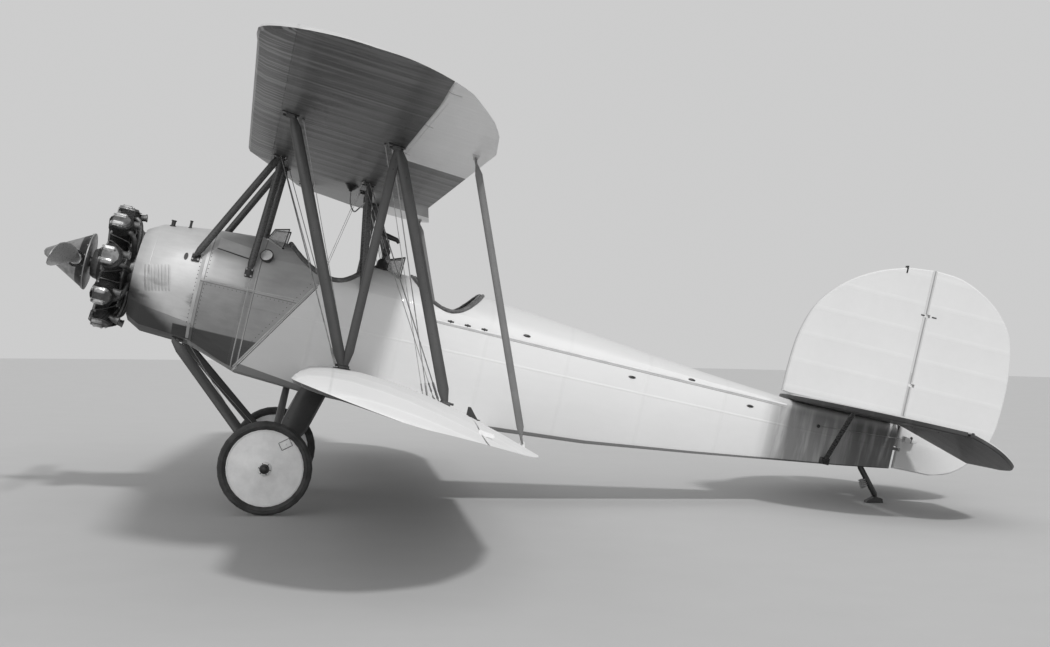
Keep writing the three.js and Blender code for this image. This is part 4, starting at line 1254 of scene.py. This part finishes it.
def deck_post():
    """The post between the cockpits."""
    post = Build()
    foot = deck_at(2.535, 0.0)[0]
    boot = [(0.062, -0.006), (0.062, 0.010), (0.050, 0.022), (0.046, 0.062), (0.030, 0.082), (0.018, 0.088)]
    post.lathe(boot, foot, Z, 24)
    post.tube([foot + Z * 0.08, foot + V(0.012, 0, 0.19), foot + Z * 0.26], [0.017, 0.020, 0.015], 12)
    knuckle = [(0.028, -0.024), (0.036, -0.016), (0.036, 0.016), (0.028, 0.024)]
    post.lathe(knuckle, foot + V(0.012, 0, 0.155), Y, 20)
    head = foot + V(0.004, 0, 0.290)
    arm = [head + V(-0.070, 0, 0.022), head, head + V(0.075, 0, -0.012), head + V(0.098, 0, -0.035)]
    post.tube(arm, [0.016, 0.024, 0.020, 0.014], 14)
    disc = [(0.010, 0.0), (0.028, 0.008), (0.028, 0.020), (0.010, 0.026)]
    post.lathe(disc, head + V(-0.094, 0, 0.030), (1, 0, -0.3), 16)
    for spot in oval(foot + Z * 0.008, X, Y, 0.054, 0.054, 6):
        post.bolt(spot, Z, 0.005, 0.005)
    post.make("deck_post", "black", sharp=45)


SHELL = [(0.018, -0.030), (0.046, -0.008), (0.056, 0.022), (0.058, 0.046), (0.053, 0.050), (0.050, 0.044)]
LAMP = [
    # its shell, its bright inside and its bulb
    (SHELL + [(0.049, 0.018)], 28),
    ([(0.0505, 0.043), (0.046, 0.036), (0.030, 0.026), (0.012, 0.022)], 28),
    ([(0.010, 0.020), (0.013, 0.030), (0.009, 0.040)], 12),
]


def deck_fittings():
    """The lamp on the port side and the grab handle by the front cockpit."""
    lamp, line = Build(), Build()
    p, out = hull_at(1.575, 0.372)
    for kind, (profile, sides) in enumerate(LAMP):
        lamp.kind = kind
        lamp.lathe(profile, p + out * 0.004, out * 0.9 - X * 0.25, sides)
    lamp.make("side_lamp", "black bright light", sharp=40)
    rim = V(2.385, -0.330, 0.440)
    path = [V(0, 0, -0.05), V(0.01, 0, 0.06), V(0.05, 0.01, 0.20), V(0.060, 0.012, 0.27)]
    line.tube(smooth_path([rim + p for p in path], 12), 0.006, 8)
    line.lathe([(0.006, 0.0), (0.013, 0.004), (0.013, 0.018), (0.006, 0.022)], rim + Z * 0.015, -Y, 12)
    line.make("grab_handle", "black", sharp=50)


deck_post()
deck_fittings()


# Rigging and strut fittings
UPPER_SKIN = tree_of("upper_wing_left", "upper_wing_right")
LOWER_SKIN = tree_of("lower_wing_left", "lower_wing_right")
STRUT_SPAN, CABANE_Y = 2.700, 0.440


def upper_at(y, back):
    """(point, outward direction) beneath the upper wing, so far behind its leading edge."""
    return meet(UPPER_SKIN, V(UPPER_LEAD + SWEEP * abs(y) + back, y, -3.0), Z)


def lower_at(y, back):
    """The same on top of the lower wing."""
    return meet(LOWER_SKIN, V(LOWER_LEAD + back, y, 3.0), -Z)


SPINDLE = [(0.0035, 0.0), (0.0075, 0.010), (0.0055, 0.026), (0.0055, 0.074), (0.0075, 0.090), (0.0035, 0.100)]


def wire(b, high, low, r=0.0026, buckle=0.09):
    """A taut wire with a fork at each end and a turnbuckle near the low one; kinds 0 wire, 1 fitting."""
    run = (high - low).normalized()
    b.kind = 0
    b.tube([low + run * 0.03, high - run * 0.02], r, 6)
    b.kind = 1
    b.lathe([(radius, buckle + h) for radius, h in SPINDLE], low, run, 8)
    across = run.cross(X).normalized()
    for end, way in ((low, run), (high, -run)):
        b.tube([end + way * 0.004, end + way * 0.052], [0.0075, 0.0045], 8)
        b.lathe([(0.010, -0.008), (0.010, 0.008)], end + way * 0.012, across, 10)


def plate(b, place, out, long, wide, thick=0.008, bolts=2):
    """A bolted fitting that lies on a surface."""
    lay = lying(X, out)
    across = out.cross(lay)
    b.box(place + out * (thick / 2 - 0.001), (long, wide, thick), 0.003, (lay, across, out))
    for k in range(bolts):
        u = ((k + 0.5) / bolts - 0.5) * long * 0.8
        for s in (-1, 1):
            spot = place + lay * u + across * (s * wide * 0.32) + out * (thick - 0.002)
            b.bolt(spot, out, 0.006, 0.007)


WIRES = [
    # upper wing: span and distance from the leading edge, then the same on the lower wing
    (0.500, 0.330, 2.660, 0.296),
    (0.500, 1.010, 2.660, 0.972),
    (2.650, 0.374, 0.540, 0.362),
    (2.650, 0.970, 0.540, 1.040),
]


def rigging():
    lines = Build()
    for y1, back1, y2, back2 in WIRES:
        wire(lines, upper_at(-y1, back1)[0], lower_at(-y2, back2)[0])
    # from each front strut's top to the other side's foot
    wire(lines, upper_at(-CABANE_Y, SPARS[0] + 0.02)[0], hull_at(1.456, 0.250, 1)[0] + Y * 0.006)
    # from the rear strut's top forward to the cockpit's rim
    wire(lines, upper_at(-CABANE_Y, SPARS[1] - 0.05)[0], hull_at(2.030, 0.235)[0], 0.0022, 0.05)
    # between the undercarriage legs
    wire(lines, V(1.035, -0.330, -0.500), V(1.890, 0.850, -1.225), 0.0030)
    lines.mirror().make("rigging", "wire steel", sharp=50)


def strut_fittings():
    dark = Build()
    for back in SPARS:
        for p, out in (upper_at(-STRUT_SPAN, back), upper_at(-CABANE_Y, back), lower_at(-STRUT_SPAN, back)):
            plate(dark, p, out, 0.125, 0.066)
            pin = p + out * 0.020
            dark.tube([pin - X * 0.050, pin + X * 0.050], 0.009, 8)
    # lugs of the wires at the lower wing's root
    for back in (0.315, 0.362, 1.040, 1.086):
        plate(dark, *lower_at(-0.545, back), 0.034, 0.050, 0.010, 1)
    # where the undercarriage and the tail's struts meet the airframe
    for x, z in ((0.985, -0.470), (2.215, -0.545), (6.830, -0.235)):
        plate(dark, *hull_at(x, z), 0.100, 0.060)
    dark.mirror().make("strut_fittings", "black", sharp=45)


rigging()
strut_fittings()


# Fuselage sides: longeron strip, cable exits, steps and fuel line
def side_pieces():
    light, dark, shade = Build(), Build(), Build()
    for side in (-1, 1):
        hull_strip(light, (3.02, 0.192), (6.36, 0.181), 70, 0.020, 0.006, side)
        # a thin dark strip under the longeron strip, as painted shade
        hull_strip(shade, (3.02, 0.174), (6.36, 0.163), 70, 0.010, 0.0025, side)
        for x, z in ((3.887, 0.241), (4.891, 0.103), (5.434, 0.202), (6.022, 0.095)):
            p, out = hull_at(x, z, side)
            lay = lying(X, out)
            rim = oval(p - out * 0.002, lay, out.cross(lay), 0.034, 0.012, 16)
            dark.rings([rim, [q + out * 0.005 for q in rim], [p + (q - p) * 0.7 + out * 0.009 for q in rim]])
            for u in (-0.026, 0.026):
                light.bolt(p + lay * u + out * 0.002, out, 0.0035, 0.004)
        for x in (3.21, 3.36, 3.51):  # step pads beside the rear cockpit
            plate(dark, *hull_at(x, 0.205, side), 0.055, 0.020, 0.004, 1)
    light.make("side_strips", "light", sharp=45)
    shade.make("side_strip_shade", "trim", sharp=45)
    dark.make("side_fittings", "black", sharp=45)


def fuel_line():
    """From a sump under the centre section along the rear port strut to the fuselage."""
    b = Build()
    sump, out = meet(UPPER_SKIN, V(2.120, -0.020, -3.0), Z)
    b.kind = 1
    b.lathe([(0.062, -0.006), (0.062, 0.006), (0.052, 0.012), (0.030, 0.040), (0.016, 0.046)], sump, out, 20)
    b.lathe([(0.012, 0.030), (0.017, 0.034), (0.017, 0.054), (0.010, 0.060)], sump, out, 12)
    tip = sump - Z * 0.055
    high, low = V(2.262, -0.416, 1.100), V(2.408, -0.424, 0.330)
    drop = [(0, 0, 0), (0.02, -0.01, -0.10), (0.07, -0.05, -0.17), (0.12, -0.16, -0.12)]
    path = [tip + V(*p) for p in drop] + [high.lerp(low, t) for t in (0.12, 0.5, 1.0)]
    b.kind = 0
    b.tube(smooth_path(path, 40), 0.0065, 8)
    b.kind = 1
    for t in (0.2, 0.45, 0.7, 0.95):
        b.tube([high.lerp(low, t - 0.012), high.lerp(low, t + 0.012)], 0.010, 8)
    b.make("fuel_line", "wire black", sharp=50)


side_pieces()
fuel_line()


# Undercarriage and wheels
def gear_pieces():
    cords, bits = Build(), Build()
    high, low = V(2.206, -0.520, -0.560), V(2.014, -0.887, -1.230)
    run = (low - high).normalized()
    aft = lying(X, run)
    across = run.cross(aft)
    for k in range(9):  # turns of shock cord round the leg's foot
        p = high.lerp(low, 0.800 + 0.020 * k)
        cords.tube(oval(p, aft, across, 0.0745, 0.0425, 20, extra=1), 0.0075, 6)
    for t, size in ((0.085, 1.0), (0.700, 0.76)):  # clamps of the leg's sleeve
        bits.tube(oval(high.lerp(low, t), aft, across, 0.113 * size, 0.064 * size, 28, extra=1), 0.006, 6)
    for y in (-0.790, -0.870):  # collars on the stub axle
        collar = [(0.031, -0.012), (0.036, -0.008), (0.036, 0.008), (0.031, 0.012)]
        bits.lathe(collar, (AXLE_AT.x, y, AXLE_AT.z), Y, 16)
    cords.mirror().make("shock_cords", "webbing", sharp=60)
    bits.mirror().make("leg_clamps", "black", sharp=50)


CAP = [(0.040, 0.084), (0.040, 0.094), (0.033, 0.102), (0.031, 0.124), (0.022, 0.132), (0.008, 0.134)]
PATCH_TILT = math.radians(38)


def wheel_pieces():
    disc = tree_of("wheel_disc_left")
    for name, side in SIDES:
        cap, lace = Build(), Build()
        out = Y * side
        hub = V(AXLE_AT.x, -side * AXLE_AT.y, AXLE_AT.z)
        cap.lathe(CAP, hub, out, 20)
        for place in oval(hub + out * 0.084, X, Z, 0.0445, 0.0445, 6):
            cap.bolt(place, out, 0.0045, 0.005)
        # the seam of the cloth disc near the rim
        lace.tube(oval(hub + out * 0.0335, X, Z, 0.300, 0.300, 72, extra=1), 0.0022, 5)
        # the hand hole over the tyre's valve: a lip with one corner lifted
        u, v = math.cos(PATCH_TILT), math.sin(PATCH_TILT)

        def spot(a, c, lift):
            x = AXLE_AT.x + 0.118 + u * a - v * c
            z = AXLE_AT.z + 0.226 + v * a + u * c
            hit = disc.ray_cast(V(x, -3.0, z), Y)[0]
            return V(x, side * (lift - hit.y), z)

        rim = [(-0.046, -0.032), (0.046, -0.032), (0.046, 0.032), (-0.046, 0.032), (-0.046, -0.032)]
        path = [spot(*q, 0.001) for a, b in zip(rim, rim[1:]) for q in along(a, b, 6)[:-1]]
        lace.kind = 1
        lace.tube(path + path[:1], 0.0030, 6)
        lace.kind = 0
        flap = ((-0.040, 0.001), (0.040, 0.001), (0.040, 0.004), (-0.040, 0.004))
        raised = ((-0.040, 0.001), (0.040, 0.001), (0.040, 0.014), (-0.040, 0.006))
        lace.rings([[spot(a, c, lift) for a, lift in edge] for c, edge in ((-0.026, flap), (0.026, raised))])
        valve = spot(0.0, 0.0, 0.004)
        lace.tube([valve, valve + V(0.004, side * 0.016, 0.004)], [0.006, 0.005], 8)
        cap.make("hub_cap_" + name, "black", "wheel_" + name, sharp=40)
        lace.make("valve_patch_" + name, "disc grey", "wheel_" + name, sharp=50)


gear_pieces()
wheel_pieces()


# Tail
POST_X = 7.512
HORN = (7.592, 0.084, 0.128)  # where a cable meets the rudder


def tail_pieces():
    fixed, moving, skid = Build(), Build(), Build()
    fixed.box((7.223, 0.0, 1.652), (0.014, 0.062, 0.070), 0.003)  # clip at the fin's top
    x, y, z = HORN
    for s in (-1, 1):
        # the upper hinge's straps, a boss on the rudder's side and the cables' eyes
        fixed.box((POST_X - 0.052, s * 0.0275, 1.276), (0.036, 0.003, 0.012), 0.001)
        moving.box((POST_X + 0.060, s * 0.0265, 1.276), (0.046, 0.003, 0.012), 0.001)
        boss = [(0.014, -0.002), (0.014, 0.003), (0.008, 0.004)]
        moving.lathe(boss, (8.000, s * 0.0255, 0.156), Y * s, 16)
        moving.lathe([(0.013, -0.026), (0.013, 0.026)], (x, s * y, z), Z, 12)
        moving.bolt((x, s * y, z + 0.022), Z, 0.008, 0.010)
    # cord wraps round the skid
    top, toe = V(7.180, 0, -0.190), V(7.420, 0, -0.640)
    out = (toe - top).normalized().cross(Y)
    for k in range(5):
        skid.tube(oval(top.lerp(toe, 0.30 + 0.035 * k), out, Y, 0.031, 0.027, 16, extra=1), 0.005, 6)
    fixed.make("fin_fittings", "black", sharp=45)
    moving.make("rudder_fittings", "black", "rudder", sharp=45)
    skid.make("skid_lashing", "webbing", sharp=60)


def rudder_cables():
    """From the fuselage's side to the rudder's horn."""
    for name, side in SIDES:
        start, out = hull_at(6.700, 0.060, side)
        end = V(HORN[0], side * HORN[1], HORN[2])
        cable, lead = Build(), Build()
        cable.tube([start.lerp(end, k / 24) for k in range(25)], 0.0026, 6)
        obj = cable.make("rudder_cable_" + name, "wire", None, sharp=60)
        C(7.470, end.y, 0.12)
        C(7.585, end.y, 0.128)
        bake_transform(obj)
        lead.lathe([(0.016, -0.004), (0.016, 0.006), (0.009, 0.010)], start, out, 14)
        lead.make("cable_exit_" + name, "black", sharp=45)


tail_pieces()
rudder_cables()


# Ailerons and propeller
def aileron_horns():
    """A horn for its cable on each lower aileron."""
    flaps = tree_of("lower_aileron_left")
    for name, side in SIDES:
        foot = flaps.ray_cast(V(3.300, -3.050, 3.0), -Z)[0]
        foot.y *= -side
        tip = foot + V(-0.030, 0, 0.074)
        edge = [foot + V(-0.040, 0, -0.003), foot + V(0.050, 0, -0.006), tip + X * 0.010, tip - X * 0.010]
        horn = Build()
        horn.rings([[p + Y * y for p in edge] for y in (-0.003, 0.003)])
        horn.lathe([(0.009, -0.007), (0.009, 0.007)], tip - Z * 0.008, Y, 12)
        horn.box(foot + X * 0.005, (0.110, 0.040, 0.006), 0.002)
        horn.make("aileron_horn_" + name, "black", "lower_aileron_" + name, sharp=45)


def propeller_pieces():
    b = Build()
    for spot in oval(X * 0.080, Y, Z, 0.2385, 0.2385, 16, 0.5):  # screws of the spinner's back plate
        b.bolt(spot, V(0.45, spot.y / 0.2385, spot.z / 0.2385), 0.004, 0.004)
    b.lathe([(0.247, 0.0), (0.2475, 0.003), (0.2475, 0.010), (0.240, 0.012)], X * 0.088, X, 48)
    b.make("spinner_fittings", "steel", "propeller", sharp=45)


aileron_horns()
propeller_pieces()
